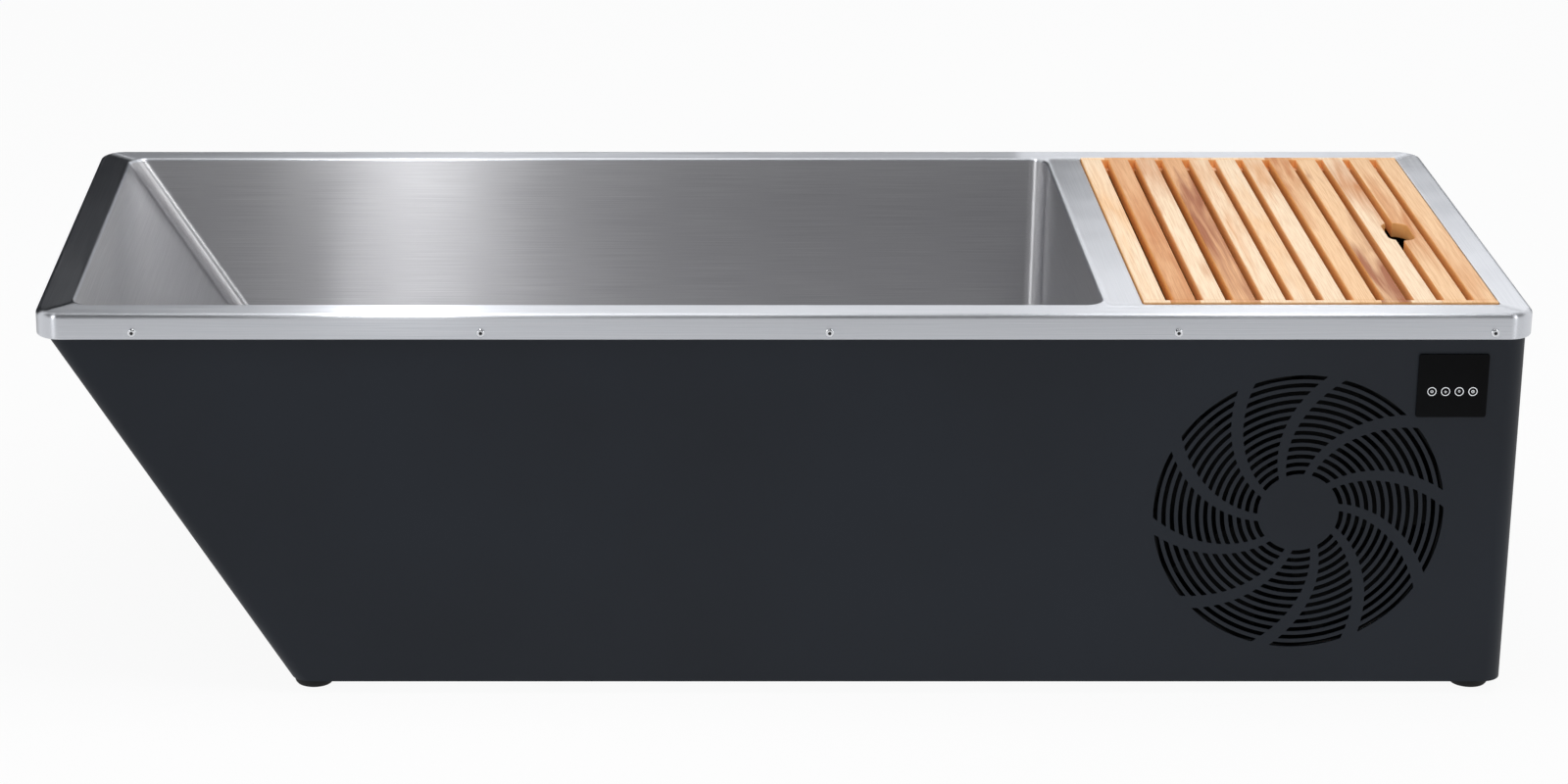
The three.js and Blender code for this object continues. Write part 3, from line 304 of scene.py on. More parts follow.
# %% [markdown]
# ## Which way the steel is brushed
# A fabricator brushes each strip of the deck along its length, so the direction changes at the mitres of
# its corners, and the basin's walls are brushed level all round. A painted map could hold that. Here it is
# worked out from where a point lies or which way it faces, so it follows any size of tub.

# %% Brushing directions
MITRE_BLEND = 14 * MM
BAR_HALF = (36 * MM, 22 * MM)
BAR_MITRE = (28 * MM, 58 * MM)
SIDE_FACING = (0.3, 0.7)


def rim_side(tree, place):
    """How far a point of the deck belongs to a strip that runs along Y: 0 to 1, soft at the mitres."""
    _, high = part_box("deck")
    bar_x = (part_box("basin_trough")[1].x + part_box("lid_slat_1")[0].x) / 2
    at = add(tree, "ShaderNodeSeparateXYZ", {"Vector": (place, "Object")})
    across = add(tree, "ShaderNodeMath", {0: (at, "X")}, operation="ABSOLUTE")
    along = add(tree, "ShaderNodeMath", {0: (at, "Y")}, operation="ABSOLUTE")
    from_end = add(tree, "ShaderNodeMath", {0: high.x, 1: (across, "Value")}, operation="SUBTRACT")
    from_front = add(tree, "ShaderNodeMath", {0: high.y, 1: (along, "Value")}, operation="SUBTRACT")
    nearer = add(tree, "ShaderNodeMath", {0: (from_front, "Value"), 1: (from_end, "Value")},
                 operation="SUBTRACT")
    ends = add(tree, "ShaderNodeMapRange", {
        "Value": (nearer, "Value"), "From Min": -MITRE_BLEND, "From Max": MITRE_BLEND},
        interpolation_type="SMOOTHSTEP")
    off_bar = add(tree, "ShaderNodeMath", {0: (at, "X"), 1: bar_x}, operation="SUBTRACT")
    off_bar = add(tree, "ShaderNodeMath", {0: (off_bar, "Value")}, operation="ABSOLUTE")
    bar = add(tree, "ShaderNodeMapRange", {
        "Value": (off_bar, "Value"), "From Min": BAR_HALF[0], "From Max": BAR_HALF[1]},
        interpolation_type="SMOOTHSTEP")
    inside = add(tree, "ShaderNodeMapRange", {
        "Value": (from_front, "Value"), "From Min": BAR_MITRE[0], "From Max": BAR_MITRE[1]},
        interpolation_type="SMOOTHSTEP")
    bar = add(tree, "ShaderNodeMath", {0: (bar, "Result"), 1: (inside, "Result")}, operation="MULTIPLY")
    side = add(tree, "ShaderNodeMath", {0: (ends, "Result"), 1: (bar, "Value")}, operation="MAXIMUM")
    return side, "Value"


def wall_side(tree, place):
    """1 on a wall that faces along X and 0 on one that faces along Y, whatever its place."""
    shape = add(tree, "ShaderNodeNewGeometry")
    facing = add(tree, "ShaderNodeSeparateXYZ", {"Vector": (shape, "Normal")})
    sideways = add(tree, "ShaderNodeMath", {0: (facing, "X")}, operation="ABSOLUTE")
    side = add(tree, "ShaderNodeMapRange", {
        "Value": (sideways, "Value"), "From Min": SIDE_FACING[0], "From Max": SIDE_FACING[1]})
    return side, "Result"


print("mitres blend over", round(2 * MITRE_BLEND / MM), "mm")

# %% [markdown]
# ## Brushed stainless steel
# The deck and basin are 304 stainless sheet, brushed with a fine belt. Brushing leaves thousands of
# parallel scratches, which stretch every highlight across their run. The shader's anisotropy does
# that, given the scratches' direction as its tangent, and a long thin noise draws the scratches that
# are wide enough to see. Real scratches are about 0.05 mm apart; here they are drawn at 0.6 mm.

# %% Scratches and their run
SCRATCH = 0.6 * MM
SCRATCH_RUN = 140 * MM


def steel_scratches(tree, place, side):
    """Long thin noise along X, or along Y where side is 1."""
    fast, slow = 1 / SCRATCH, 1 / SCRATCH_RUN
    noises = []
    for scale in ((slow, fast, fast), (fast, slow, fast)):
        stretched = add(tree, "ShaderNodeMapping", {"Vector": (place, "Object"), "Scale": scale})
        noises.append(add(tree, "ShaderNodeTexNoise", {
            "Vector": (stretched, "Vector"), "Scale": 1.0, "Detail": 3.0}))
    mix = add(tree, "ShaderNodeMix", {"Factor": side, "A": (noises[0], "Fac"), "B": (noises[1], "Fac")})
    return mix, "Result"


def steel_run(tree, place, side):
    """The scratches' direction: along X or Y on flat strips, and level round the walls."""
    shape = add(tree, "ShaderNodeNewGeometry")
    round_walls = add(tree, "ShaderNodeVectorMath", {0: (0, 0, 1), 1: (shape, "Normal")},
                      operation="CROSS_PRODUCT")
    at = add(tree, "ShaderNodeSeparateXYZ", {"Vector": (place, "Object")})
    hand = add(tree, "ShaderNodeMath", {0: (at, "X"), 1: (at, "Y")}, operation="MULTIPLY")
    hand = add(tree, "ShaderNodeMath", {0: (hand, "Value")}, operation="SIGN")
    run_y = add(tree, "ShaderNodeMath", {0: (hand, "Value"), 1: side}, operation="MULTIPLY")
    run_x = add(tree, "ShaderNodeMath", {0: side, 1: 1.0}, operation="SUBTRACT")
    flat = add(tree, "ShaderNodeCombineXYZ", {"X": (run_x, "Value"), "Y": (run_y, "Value")})
    # The flat direction counts for a thousandth, so that it only decides where a face has no wall.
    run = add(tree, "ShaderNodeVectorMath", {
        0: (flat, "Vector"), 1: (0.001, 0.001, 0.001), 2: (round_walls, "Vector")},
        operation="MULTIPLY_ADD")
    return run, "Vector"


print("scratches", round(SCRATCH / MM, 1), "mm wide and", round(SCRATCH_RUN / MM), "mm long")

# %% [markdown]
# A sheet this large is never quite flat, so its reflections waver. Bending the mesh would do it, but then
# the edges would waver too. A slow noise tilts the shader's normal instead, and the scratches move the
# colour, the roughness and a very shallow bump.

# %% Stainless steel
SCRATCH_DEPTH = 0.05 * MM
WAVE = 160 * MM
WAVE_HEIGHT = 1.2 * MM
STREAK_STOPS = (0.3, 0.7)
ROUGH_SPREAD = 0.06
ANISOTROPY = 0.92
QUARTER_TURN = 0.25


def brushed_steel(name, side_of, bright, shade, roughness):
    """Brushed steel: soft streaks, and highlights drawn out across the scratches."""
    material, tree = new_material(name)
    place = add(tree, "ShaderNodeTexCoord")
    side = side_of(tree, place)
    scratches = steel_scratches(tree, place, side)
    waves = add(tree, "ShaderNodeTexNoise", {
        "Vector": (place, "Object"), "Scale": 1 / WAVE, "Detail": 1.0})
    low, high = STREAK_STOPS
    colour = add(tree, "ShaderNodeValToRGB", {"Fac": scratches},
                 stops=[(low, linear(shade)), (high, linear(bright))])
    streaky = add(tree, "ShaderNodeMapRange", {
        "Value": scratches, "From Min": low, "From Max": high,
        "To Min": roughness - ROUGH_SPREAD, "To Max": roughness + ROUGH_SPREAD})
    wavy = add(tree, "ShaderNodeBump", {
        "Height": (waves, "Fac"), "Strength": 1.0, "Distance": WAVE_HEIGHT})
    bump = add(tree, "ShaderNodeBump", {
        "Height": scratches, "Strength": 0.06, "Distance": SCRATCH_DEPTH, "Normal": (wavy, "Normal")})
    steel = add(tree, "ShaderNodeBsdfPrincipled", {
        "Base Color": (colour, "Color"), "Metallic": 1.0, "Roughness": (streaky, "Result"),
        "Anisotropic": ANISOTROPY, "Anisotropic Rotation": QUARTER_TURN, "Normal": (bump, "Normal"),
        "Tangent": steel_run(tree, place, side)})
    show(tree, steel)
    return material


# On the deck: the steel made brighter and a little bluer as painted light, with streaks that turn at the
# mitres.
deck_steel_painted_light = brushed_steel("brushed_stainless_deck", rim_side, "#d8dadf", "#c1c4ca", 0.37)
# On the walls: the same steel made darker as painted shade inside the basin, a little softer, with level
# streaks.
wall_steel_painted_shade = brushed_steel("brushed_stainless_walls", wall_side, "#cfcfd1", "#b8b8bb", 0.41)
print("steels", deck_steel_painted_light.name, wall_steel_painted_shade.name)

# %% [markdown]
# ## Powder coat
# The casing is sprayed with a fine matt polyester powder and baked. It leaves a slight orange peel with
# bumps about 1 mm apart, and a soft sheen. Modelled bumps would need millions of faces, so a noise moves
# the shader's normal and roughness instead, drawn at 2 mm so that it shows.

# %% Powder coat
PEEL = 2.0 * MM
PEEL_HEIGHT = 0.2 * MM
CLOUD = 1000 / 3 * MM


def powder_coat():
    """Baked polyester powder: nearly black blue-grey, with a sheen but no sharp reflection."""
    material, tree = new_material("polyester_powder_coat")
    place = add(tree, "ShaderNodeTexCoord")
    peel = add(tree, "ShaderNodeTexNoise", {
        "Vector": (place, "Object"), "Scale": 1 / PEEL, "Detail": 2.0})
    cloud = add(tree, "ShaderNodeTexNoise", {
        "Vector": (place, "Object"), "Scale": 1 / CLOUD, "Detail": 3.0})
    colour = add(tree, "ShaderNodeValToRGB", {"Fac": (cloud, "Fac")},
                 stops=[(0.3, linear("#1a1f27")), (0.7, linear("#1e242d"))])
    rough = add(tree, "ShaderNodeMapRange", {"Value": (peel, "Fac"), "To Min": 0.46, "To Max": 0.58})
    bump = add(tree, "ShaderNodeBump", {
        "Height": (peel, "Fac"), "Strength": 0.12, "Distance": PEEL_HEIGHT})
    coat = add(tree, "ShaderNodeBsdfPrincipled", {
        "Base Color": (colour, "Color"), "Roughness": (rough, "Result"), "Normal": (bump, "Normal"),
        "IOR": 1.5, "Specular IOR Level": 0.25})
    show(tree, coat)
    return material


anthracite = powder_coat()
print("coat", anthracite.name)

# %% [markdown]
# ## Oiled hardwood
# The lid is sawn from one pale hardwood with brown heartwood, then planed and oiled. A photograph of wood
# would repeat and stretch, so the figure is drawn with noise. A broad one, stretched along the slat, gives
# the heartwood's streaks, strongest round one place in Y. A fine one gives the grain, 1.5 mm apart.

# %% Wood figure
GRAIN = 1.5 * MM
GRAIN_RUN = 40 * GRAIN
STREAK = 22 * MM
STREAK_RUN = 300 * MM
SEED_STEP = (3.7, 1.3, 2.1)
HEART_PUSH = 0.2


def wood_figure(tree, place, heart, reach, seed):
    """The heartwood's streaks, deep round a place in Y, and the grain."""
    offset = tuple(seed * step for step in SEED_STEP)
    broad = add(tree, "ShaderNodeMapping", {
        "Vector": (place, "Object"), "Location": offset,
        "Scale": (1 / STREAK, 1 / STREAK_RUN, 1 / STREAK)})
    fine = add(tree, "ShaderNodeMapping", {
        "Vector": (place, "Object"), "Location": offset,
        "Scale": (1 / GRAIN, 1 / GRAIN_RUN, 1 / GRAIN)})
    streaks = add(tree, "ShaderNodeTexNoise", {
        "Vector": (broad, "Vector"), "Scale": 1.0, "Detail": 3.0, "Distortion": 0.8})
    grain = add(tree, "ShaderNodeTexNoise", {"Vector": (fine, "Vector"), "Scale": 1.0, "Detail": 4.0})
    at = add(tree, "ShaderNodeSeparateXYZ", {"Vector": (place, "Object")})
    away = add(tree, "ShaderNodeMath", {0: (at, "Y"), 1: heart}, operation="SUBTRACT")
    away = add(tree, "ShaderNodeMath", {0: (away, "Value")}, operation="ABSOLUTE")
    push = add(tree, "ShaderNodeMapRange", {
        "Value": (away, "Value"), "From Max": reach, "To Min": HEART_PUSH, "To Max": -HEART_PUSH})
    ripe = add(tree, "ShaderNodeMath", {0: (streaks, "Fac"), 1: (push, "Result")}, operation="ADD")
    return (ripe, "Value"), (grain, "Fac")


print("grain", round(GRAIN / MM, 1), "mm wide and", round(GRAIN_RUN / MM), "mm long")

# %% [markdown]
# A slat's sides are painted a lighter, warmer orange than its top: painted bounce light from the grooves.
# Two materials on one slat would meet in a hard line along its round edges. So the way a point faces
# mixes the warm colour in, and the grain also moves the roughness and a shallow bump.

# %% Oiled wood
GRAIN_DEPTH = 0.15 * MM
PAINTED_SIDE_LIGHT = 0.8


def hardwood(name, pale, deep, heart, reach, seed):
    """Planed and oiled wood: clear grain, a satin top, and sides lit by painted bounce light."""
    material, tree = new_material(name)
    place = add(tree, "ShaderNodeTexCoord")
    ripe, grain = wood_figure(tree, place, heart, reach, seed)
    tone = add(tree, "ShaderNodeValToRGB", {"Fac": ripe},
               stops=[(0.4, linear(pale)), (0.74, linear(deep))])
    lines = add(tree, "ShaderNodeValToRGB", {"Fac": grain},
                stops=[(0.35, linear("#dcc7b2")), (0.6, linear("#ffffff"))])
    grained = add(tree, "ShaderNodeMix", {"Factor": 0.5, "A": (tone, "Color"), "B": (lines, "Color")},
                  data_type="RGBA", blend_type="MULTIPLY")
    # Sideways faces take a light orange: painted bounce light in the grooves.
    shape = add(tree, "ShaderNodeNewGeometry")
    facing = add(tree, "ShaderNodeSeparateXYZ", {"Vector": (shape, "Normal")})
    side = add(tree, "ShaderNodeMapRange", {
        "Value": (facing, "Z"), "From Min": 0.25, "From Max": 0.9, "To Min": PAINTED_SIDE_LIGHT, "To Max": 0.0})
    warm = add(tree, "ShaderNodeMix", {
        "Factor": (side, "Result"), "A": (grained, "Result"), "B": linear("#ffbb6e")}, data_type="RGBA")
    rough = add(tree, "ShaderNodeMapRange", {"Value": grain, "To Min": 0.62, "To Max": 0.45})
    bump = add(tree, "ShaderNodeBump", {"Height": grain, "Strength": 0.25, "Distance": GRAIN_DEPTH})
    wood = add(tree, "ShaderNodeBsdfPrincipled", {
        "Base Color": (warm, "Result"), "Roughness": (rough, "Result"), "Normal": (bump, "Normal"),
        "IOR": 1.5, "Specular IOR Level": 0.4})
    show(tree, wood)
    return material


print("sides take", PAINTED_SIDE_LIGHT, "of the warm colour")

# %% [markdown]
# No two slats come from the same place in the log, so neighbours differ. One wood for all would look
# printed. Each slat gets its own pale and deep colour, the place of its heartwood and how far that
# reaches, both in metres, and its own part of the noise.

# %% Woods of the twelve slats
CREAM = "#f9debd"
HONEY = "#f3c99b"
TAN = "#e4ae7c"
BROWN = "#cf8a50"
UMBER = "#a45d2f"
SLAT_TONES = (
    (CREAM, HONEY, 0.1, 0.3), (TAN, BROWN, -0.2, 0.8), (CREAM, BROWN, 0.27, 0.26),
    (TAN, UMBER, -0.02, 0.55), (CREAM, TAN, 0.25, 0.45), (CREAM, HONEY, -0.1, 0.5),
    (CREAM, TAN, 0.3, 0.3), (HONEY, BROWN, 0.32, 0.36), (HONEY, UMBER, -0.24, 0.56),
    (CREAM, BROWN, 0.2, 0.28), (HONEY, BROWN, 0.02, 0.3), (HONEY, TAN, -0.2, 0.5),
)
slat_woods = []
for number, tones in enumerate(SLAT_TONES, 1):
    slat_woods.append(hardwood(f"oiled_hardwood_{number}", *tones, number))
print("woods", len(slat_woods))

# %% [markdown]
# ## Plastics, rubber and the small metals
# Moulded pieces take a fine spark-eroded texture from their tool, rubber is matt with a dusty bloom,
# galvanised steel has zinc crystals, and drawn or cast metals a faint mottle. Each could have a shader
# of its own. One recipe serves them all: two close colours mixed by a noise of a real size, which
# also moves the roughness and the bump.

# %% Recipe for mottled finishes


def mottled(name, colours, size, rough, height, metallic=0.0, ior=1.5, gloss=0.5, cells=False, glow=0.0):
    """Two close colours in patches of a size, with roughness and bump from the same patches."""
    material, tree = new_material(name)
    place = add(tree, "ShaderNodeTexCoord")
    kind = "ShaderNodeTexVoronoi" if cells else "ShaderNodeTexNoise"
    patches = add(tree, kind, {"Vector": (place, "Object"), "Scale": 1 / size})
    value = (patches, "Distance" if cells else "Fac")
    colour = add(tree, "ShaderNodeValToRGB", {"Fac": value},
                 stops=[(0.3, linear(colours[0])), (0.7, linear(colours[1]))])
    sheen = add(tree, "ShaderNodeMapRange", {"Value": value, "To Min": rough[0], "To Max": rough[1]})
    bump = add(tree, "ShaderNodeBump", {"Height": value, "Strength": 0.3, "Distance": height})
    surface = {"Base Color": (colour, "Color"), "Metallic": metallic, "Roughness": (sheen, "Result"),
               "Normal": (bump, "Normal")}
    if not metallic:
        surface["IOR"] = ior
        surface["Specular IOR Level"] = gloss
    if glow:
        surface["Emission Color"] = linear(colours[1])
        surface["Emission Strength"] = glow
    show(tree, add(tree, "ShaderNodeBsdfPrincipled", surface))
    return material


# EPDM from a mould: dead black and matt, with a dusty bloom.
epdm = mottled("moulded_epdm_rubber", ("#0d0d0e", "#161617"), 1.2 * MM, (0.75, 0.95), 0.15 * MM)
print("rubber", epdm.name)

# %% [markdown]
# The same recipe now makes the plastics. Their texture is under a millimetre, so it only breaks up the
# highlights. The printed signs glow a little: painted light that keeps the white ink bright.

# %% Plastics, paper and ink
# ABS from a textured tool: an even satin, without a sharp highlight.
black_abs = mottled("moulded_black_abs", ("#08090a", "#0d0e0f"), 0.8 * MM, (0.45, 0.6), 0.05 * MM)
grey_abs = mottled("moulded_grey_abs", ("#85898c", "#8f9396"), 0.8 * MM, (0.45, 0.6), 0.05 * MM)
# PVC from a polished tool: smoother and brighter than the ABS.
white_pvc = mottled("moulded_white_pvc", ("#d9d9d6", "#e3e3e0"), 0.9 * MM, (0.35, 0.5), 0.04 * MM)
# Nylon filled with glass fibre: dull, because fibres lie at its surface.
fan_nylon = mottled("glass_filled_nylon", ("#060708", "#0c0d0e"), 0.8 * MM, (0.7, 0.85), 0.08 * MM,
                    gloss=0.15)
# Acrylic with a coat against glare: deep black that mirrors the room only faintly.
glass_black = mottled("coated_black_acrylic", ("#050506", "#08090b"), 60 * MM, (0.1, 0.16), 0.005 * MM,
                      ior=1.49, gloss=0.06)
# White ink, screen printed: flat, with a glow that is painted light to keep it bright.
icon_white = mottled("printed_white_ink", ("#e3e6ea", "#f4f6f8"), 1.0 * MM, (0.45, 0.6), 0.01 * MM,
                     glow=0.55)
# Foamed insulation with closed cells: a pale matt honeycomb.
foam = mottled("closed_cell_foam", ("#cbbf98", "#ded3b0"), 2.5 * MM, (0.85, 1.0), 0.4 * MM, cells=True)
# Filter foam with open cells: black and furry, it swallows light.
dust_foam = mottled("open_cell_foam", ("#0b0c0d", "#1a1b1d"), 2.5 * MM, (0.9, 1.0), 0.6 * MM, gloss=0.2,
                    cells=True)
# Pleated paper: white and fully matt.
paper = mottled("pleated_filter_paper", ("#dcdedd", "#eceded"), 1.0 * MM, (0.8, 0.95), 0.1 * MM)
print("materials so far", len(bpy.data.materials))

# %% [markdown]
# The metals follow, bare or coated. A bare metal keeps the shader's own index of refraction, since its
# colour says how it reflects. Zinc shows crystals of about 14 mm, which a cell pattern draws best.

# %% Small metals
# Hot-dip galvanised steel: grey crystals that catch the light one by one.
zinc = mottled("galvanised_steel", ("#8d9397", "#a7adb1"), 14 * MM, (0.35, 0.55), 0.03 * MM, 1.0,
               cells=True)
# Condenser fins, dark and dull: their dark colour is painted shade for the bay behind the grille.
condenser_fins_painted_shade = mottled("dark_fins_painted_shade", ("#121416", "#1c1f22"), 3 * MM, (0.55, 0.7), 0.05 * MM, gloss=0.2)
# Drawn copper: warm and fairly bright, with dull patches where hands held it.
copper = mottled("drawn_copper_tube", ("#a2583a", "#bb6f4a"), 9 * MM, (0.25, 0.4), 0.02 * MM, 1.0)
# Black stoved paint on the compressor: glossy, with a slight ripple. The screws' sockets take it too, as
# painted shade in their recess.
enamel_and_socket_shade = mottled("black_enamel_and_socket_shade", ("#0e0f11", "#15171a"), 5 * MM, (0.25, 0.38), 0.05 * MM)
# Polished stainless: nearly a mirror.
polished = mottled("polished_stainless_screw", ("#c9cbcf", "#dcdee1"), 2.0 * MM, (0.1, 0.18),
                   0.005 * MM, 1.0)
print("materials", len(bpy.data.materials))

# %% [markdown]
# ## Round-cornered outlines
# The deck, the basin and most openings are rectangles with round corners. A bevel modifier could round
# them, but each radius would need its own weight on its edges. Here the points of an outline are worked
# out, so that each outline has its own radius and its own number of steps.

# %% Outlines


def grow(rect, distance):
    """A rectangle of left, right, front and rear, moved outwards all round."""
    left, right, front, rear = rect
    return (left - distance, right + distance, front - distance, rear + distance)


def quarter(steps):
    """Angles from 0 to 90 degrees."""
    return [math.pi / 2 * i / steps for i in range(steps + 1)]


def rounded_loop(rect, radius, z, steps=10):
    """Points round a rectangle with round corners, anticlockwise from above."""
    left, right, front, rear = rect
    corners = (
        (right - radius, front + radius, 270),
        (right - radius, rear - radius, 0),
        (left + radius, rear - radius, 90),
        (left + radius, front + radius, 180),
    )
    points = []
    for x, y, start in corners:
        for i in range(steps + 1):
            angle = math.radians(start + 90 * i / steps)
            points.append(Vector((x + radius * math.cos(angle), y + radius * math.sin(angle), z)))
    return points


trial_loop = rounded_loop((0, 1, 0, 1), 0.1, 0)
print("a rounded square has", len(trial_loop), "points")

# %% [markdown]
# ## Drawing sheet metal
# A pressed sheet is one section carried round an outline. A cube with many modifiers could come near it,
# but its rolls and corners need exact radii. So the section's points become rings round the outline, each
# ring is bridged to the next, and a flat face is filled between a ring and the holes in it.

# %% Rings and sheets


class Sheet:
    """A sheet-metal surface: rings of points, bridged one to the next, with flat faces filled."""

    def __init__(self):
        self.points = []
        self.faces = []

    def ring(self, loop):
        start = len(self.points)
        self.points.extend(loop)
        return list(range(start, len(self.points)))

    def bridge(self, a, b):
        for i in range(len(a)):
            k = (i + 1) % len(a)
            self.faces.append((a[i], a[k], b[k], b[i]))

    def rings(self, loops):
        """Adds loops and bridges them in turn, and gives the first and the last ring."""
        made = [self.ring(loop) for loop in loops]
        for a, b in zip(made, made[1:]):
            self.bridge(a, b)
        return made[0], made[-1]

    def fill(self, outer, holes, flat):
        """Fills the face inside a ring and outside its holes; flat gives a point's plane coordinates."""
        used = [i for ring in (outer, *holes) for i in ring]
        coords = [flat(self.points[i]) for i in used]
        loops = []
        start = 0
        for ring in (outer, *holes):
            loops.append(list(range(start, start + len(ring))))
            start += len(ring)
        _, _, faces, origins, _, inside = delaunay_2d_cdt(coords, [], loops, 1, 1e-7)
        for face, within in zip(faces, inside):
            if within != [0]:
                continue
            corners = [used[origins[i][0]] for i in face]
            a, b, c = (flat(self.points[i]) for i in corners)
            turn = (b - a).cross(c - a)
            self.faces.append(corners if turn > 0 else corners[::-1])

    def build(self, name):
        mesh = bpy.data.meshes.new(name)
        mesh.from_pydata([tuple(p) for p in self.points], [], self.faces)
        obj = bpy.data.objects.new(name, mesh)
        bpy.context.scene.collection.objects.link(obj)
        return obj


trial = Sheet()
trial.fill(trial.ring(trial_loop), [], lambda p: p.xy)
print("a rounded square is filled with", len(trial.faces), "faces")

# %% [markdown]
# ## Finishing a piece
# A drawn sheet still needs its thickness, its shading and its place in the part. Thickness is added away
# from the side that shows, so that the outside keeps its size. Smooth shading with sharp edges above an
# angle keeps bends soft and cut edges crisp. At last a piece says which body carries it.

# %% Thickness, shading and body


def settle(obj, sharp=35):
    """Applies the modifiers, then shades smooth and keeps edges above an angle sharp."""
    depsgraph = bpy.context.evaluated_depsgraph_get()
    mesh = bpy.data.meshes.new_from_object(obj.evaluated_get(depsgraph))
    obj.modifiers.clear()
    obj.data = mesh
    mesh.shade_smooth()
    mesh.set_sharp_from_angle(angle=math.radians(sharp))
    return obj


def thicken(obj, thickness):
    """Gives a sheet its thickness, away from the side that shows."""
    modifier = obj.modifiers.new("thickness", "SOLIDIFY")
    modifier.thickness = thickness
    modifier.offset = -1
    return obj


def dress(obj, materials, body, slot, *replaced):
    """Gives a piece its finish, the body it rides on and the nodes it stands for; the slot is not used."""
    for material in materials if isinstance(materials, (list, tuple)) else [materials]:
        obj.data.materials.append(material)
    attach(obj, body)
    if replaced:
        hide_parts(*replaced)
    return obj


def sizes(obj):
    """A piece's size in millimetres, to a tenth, for printing."""
    return [round(side / MM, 1) for side in obj.dimensions]


# %% [markdown]
# ## The deck
# The deck is one pressed sheet: a flat rim with the basin's opening and the lid's well in it, rolled over
# at the outside into a skirt that is hemmed inwards at its foot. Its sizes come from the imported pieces,
# so that it closes round them; only the small radii and reveals are set here.

# %% Deck sizes
SHEET = 2 * MM
DECK_SHEET = 1.4 * MM
DECK_CORNER = 35 * MM
SKIRT_ROLL = 7 * MM
HEM_ROLL = 2.5 * MM
HEM_REACH = 6.5 * MM
EDGE_ROLL = 3.5 * MM
WELL_ROLL = 1.2 * MM
SUPPORT = 1 * MM
BASIN_CORNER = 26 * MM
WELL_CORNER = 5 * MM
LID_CLEARANCE = 2 * MM
LEDGE_WIDTH = 12 * MM
LEDGE_DROP = 0.3 * MM
RIM_FRONT = 43 * MM
RIM_REAR = 44 * MM
RIM_LEFT = 47.5 * MM
BASIN_FLANGE = 13 * MM
LEAN = math.tan(math.radians(32.6))

deck_low, deck_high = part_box("deck")
deck_rect = (deck_low.x, deck_high.x, deck_low.y, deck_high.y)
deck_top = deck_high.z
deck_underside = deck_top - SHEET
wall_low, wall_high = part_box("basin_trough")
lid_rect = (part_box("lid_slat_1")[0].x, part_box("lid_slat_12")[1].x,
            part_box("lid_rail_front")[0].y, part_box("lid_rail_rear")[1].y)
well_rect = grow(lid_rect, LID_CLEARANCE)
basin_rect = (deck_low.x + RIM_LEFT, wall_high.x - BASIN_FLANGE,
              deck_low.y + RIM_FRONT, deck_high.y - RIM_REAR)
print("basin opening", [round(edge / MM, 1) for edge in basin_rect])

# %% [markdown]
# The deck is drawn as three runs of rings, from the hem over the skirt's roll to the rim, and from the
# rim down into each opening. A bevelled slab would give one radius everywhere, but here each edge has its
# own. Close pairs of rings beside a roll keep its shading from spreading over the flat rim.

# %% Deck
RIM_STEPS = 14
WELL_STEPS = 6


def leant(points):
    """Moves left-hand points in as the sloped end does below the deck."""
    return [p + Vector((max(0, deck_underside - p.z) * LEAN, 0, 0)) if p.x < 0 else p for p in points]


def deck_outside():
    """The deck's section from the hem to the flat rim, as insets and heights."""
    bottom = deck_low.z
    section = [(HEM_REACH, bottom + SHEET), (HEM_REACH, bottom), (HEM_ROLL, bottom)]
    for a in quarter(5)[1:]:
        section.append((HEM_ROLL - HEM_ROLL * math.sin(a), bottom + HEM_ROLL - HEM_ROLL * math.cos(a)))
    roll_foot = deck_top - SKIRT_ROLL
    section.append((0, roll_foot - SUPPORT))
    for a in quarter(8):
        section.append((SKIRT_ROLL - SKIRT_ROLL * math.cos(a), roll_foot + SKIRT_ROLL * math.sin(a)))
    return section + [(SKIRT_ROLL + SUPPORT, deck_top)]


def rolled_edge(roll, steps):
    """An edge rolled down from the flat rim into an opening, as growth and height."""
    edge = [(roll + SUPPORT, deck_top)]
    for a in quarter(steps):
        edge.append((roll - roll * math.sin(a), deck_top - roll + roll * math.cos(a)))
    return edge


def make_deck():
    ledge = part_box("lid_rail_front")[0].z - LEDGE_DROP
    well_section = rolled_edge(WELL_ROLL, 3) + [(0, ledge), (-LEDGE_WIDTH, ledge)]
    skirt = []
    for inset, z in deck_outside():
        corner = max(DECK_CORNER - inset, MM)
        skirt.append(rounded_loop(grow(deck_rect, -inset), corner, z, RIM_STEPS))
    basin_edge = []
    for growth, z in rolled_edge(EDGE_ROLL, 6):
        corner = BASIN_CORNER + growth
        basin_edge.append(leant(rounded_loop(grow(basin_rect, growth), corner, z, RIM_STEPS)))
    well = []
    for growth, z in well_section:
        corner = max(WELL_CORNER + growth, MM)
        well.append(rounded_loop(grow(well_rect, growth), corner, z, WELL_STEPS))
    sheet = Sheet()
    _, outer = sheet.rings(skirt)
    basin_hole, _ = sheet.rings(basin_edge)
    well_hole, _ = sheet.rings(well)
    sheet.fill(outer, [basin_hole, well_hole], lambda p: p.xy)
    return thicken(sheet.build("deck_sheet"), DECK_SHEET)


deck = settle(make_deck())
dress(deck, deck_steel_painted_light, "tub", "stainless_steel", "deck")
print("deck", sizes(deck), "mm")

# %% [markdown]
# ## The basin
# The basin is folded from the same sheet and welded under the deck, with its leaning end as a backrest.
# A box with bevelled edges would do for upright walls, but here one end leans and keeps its round
# corners. So it is a run of rings from the deck's edge down the walls and round the fillet to the floor.

# %% Basin
BASIN_SHEET = 1.6 * MM
BASIN_FILLET = 24 * MM
WALL_RINGS = 6


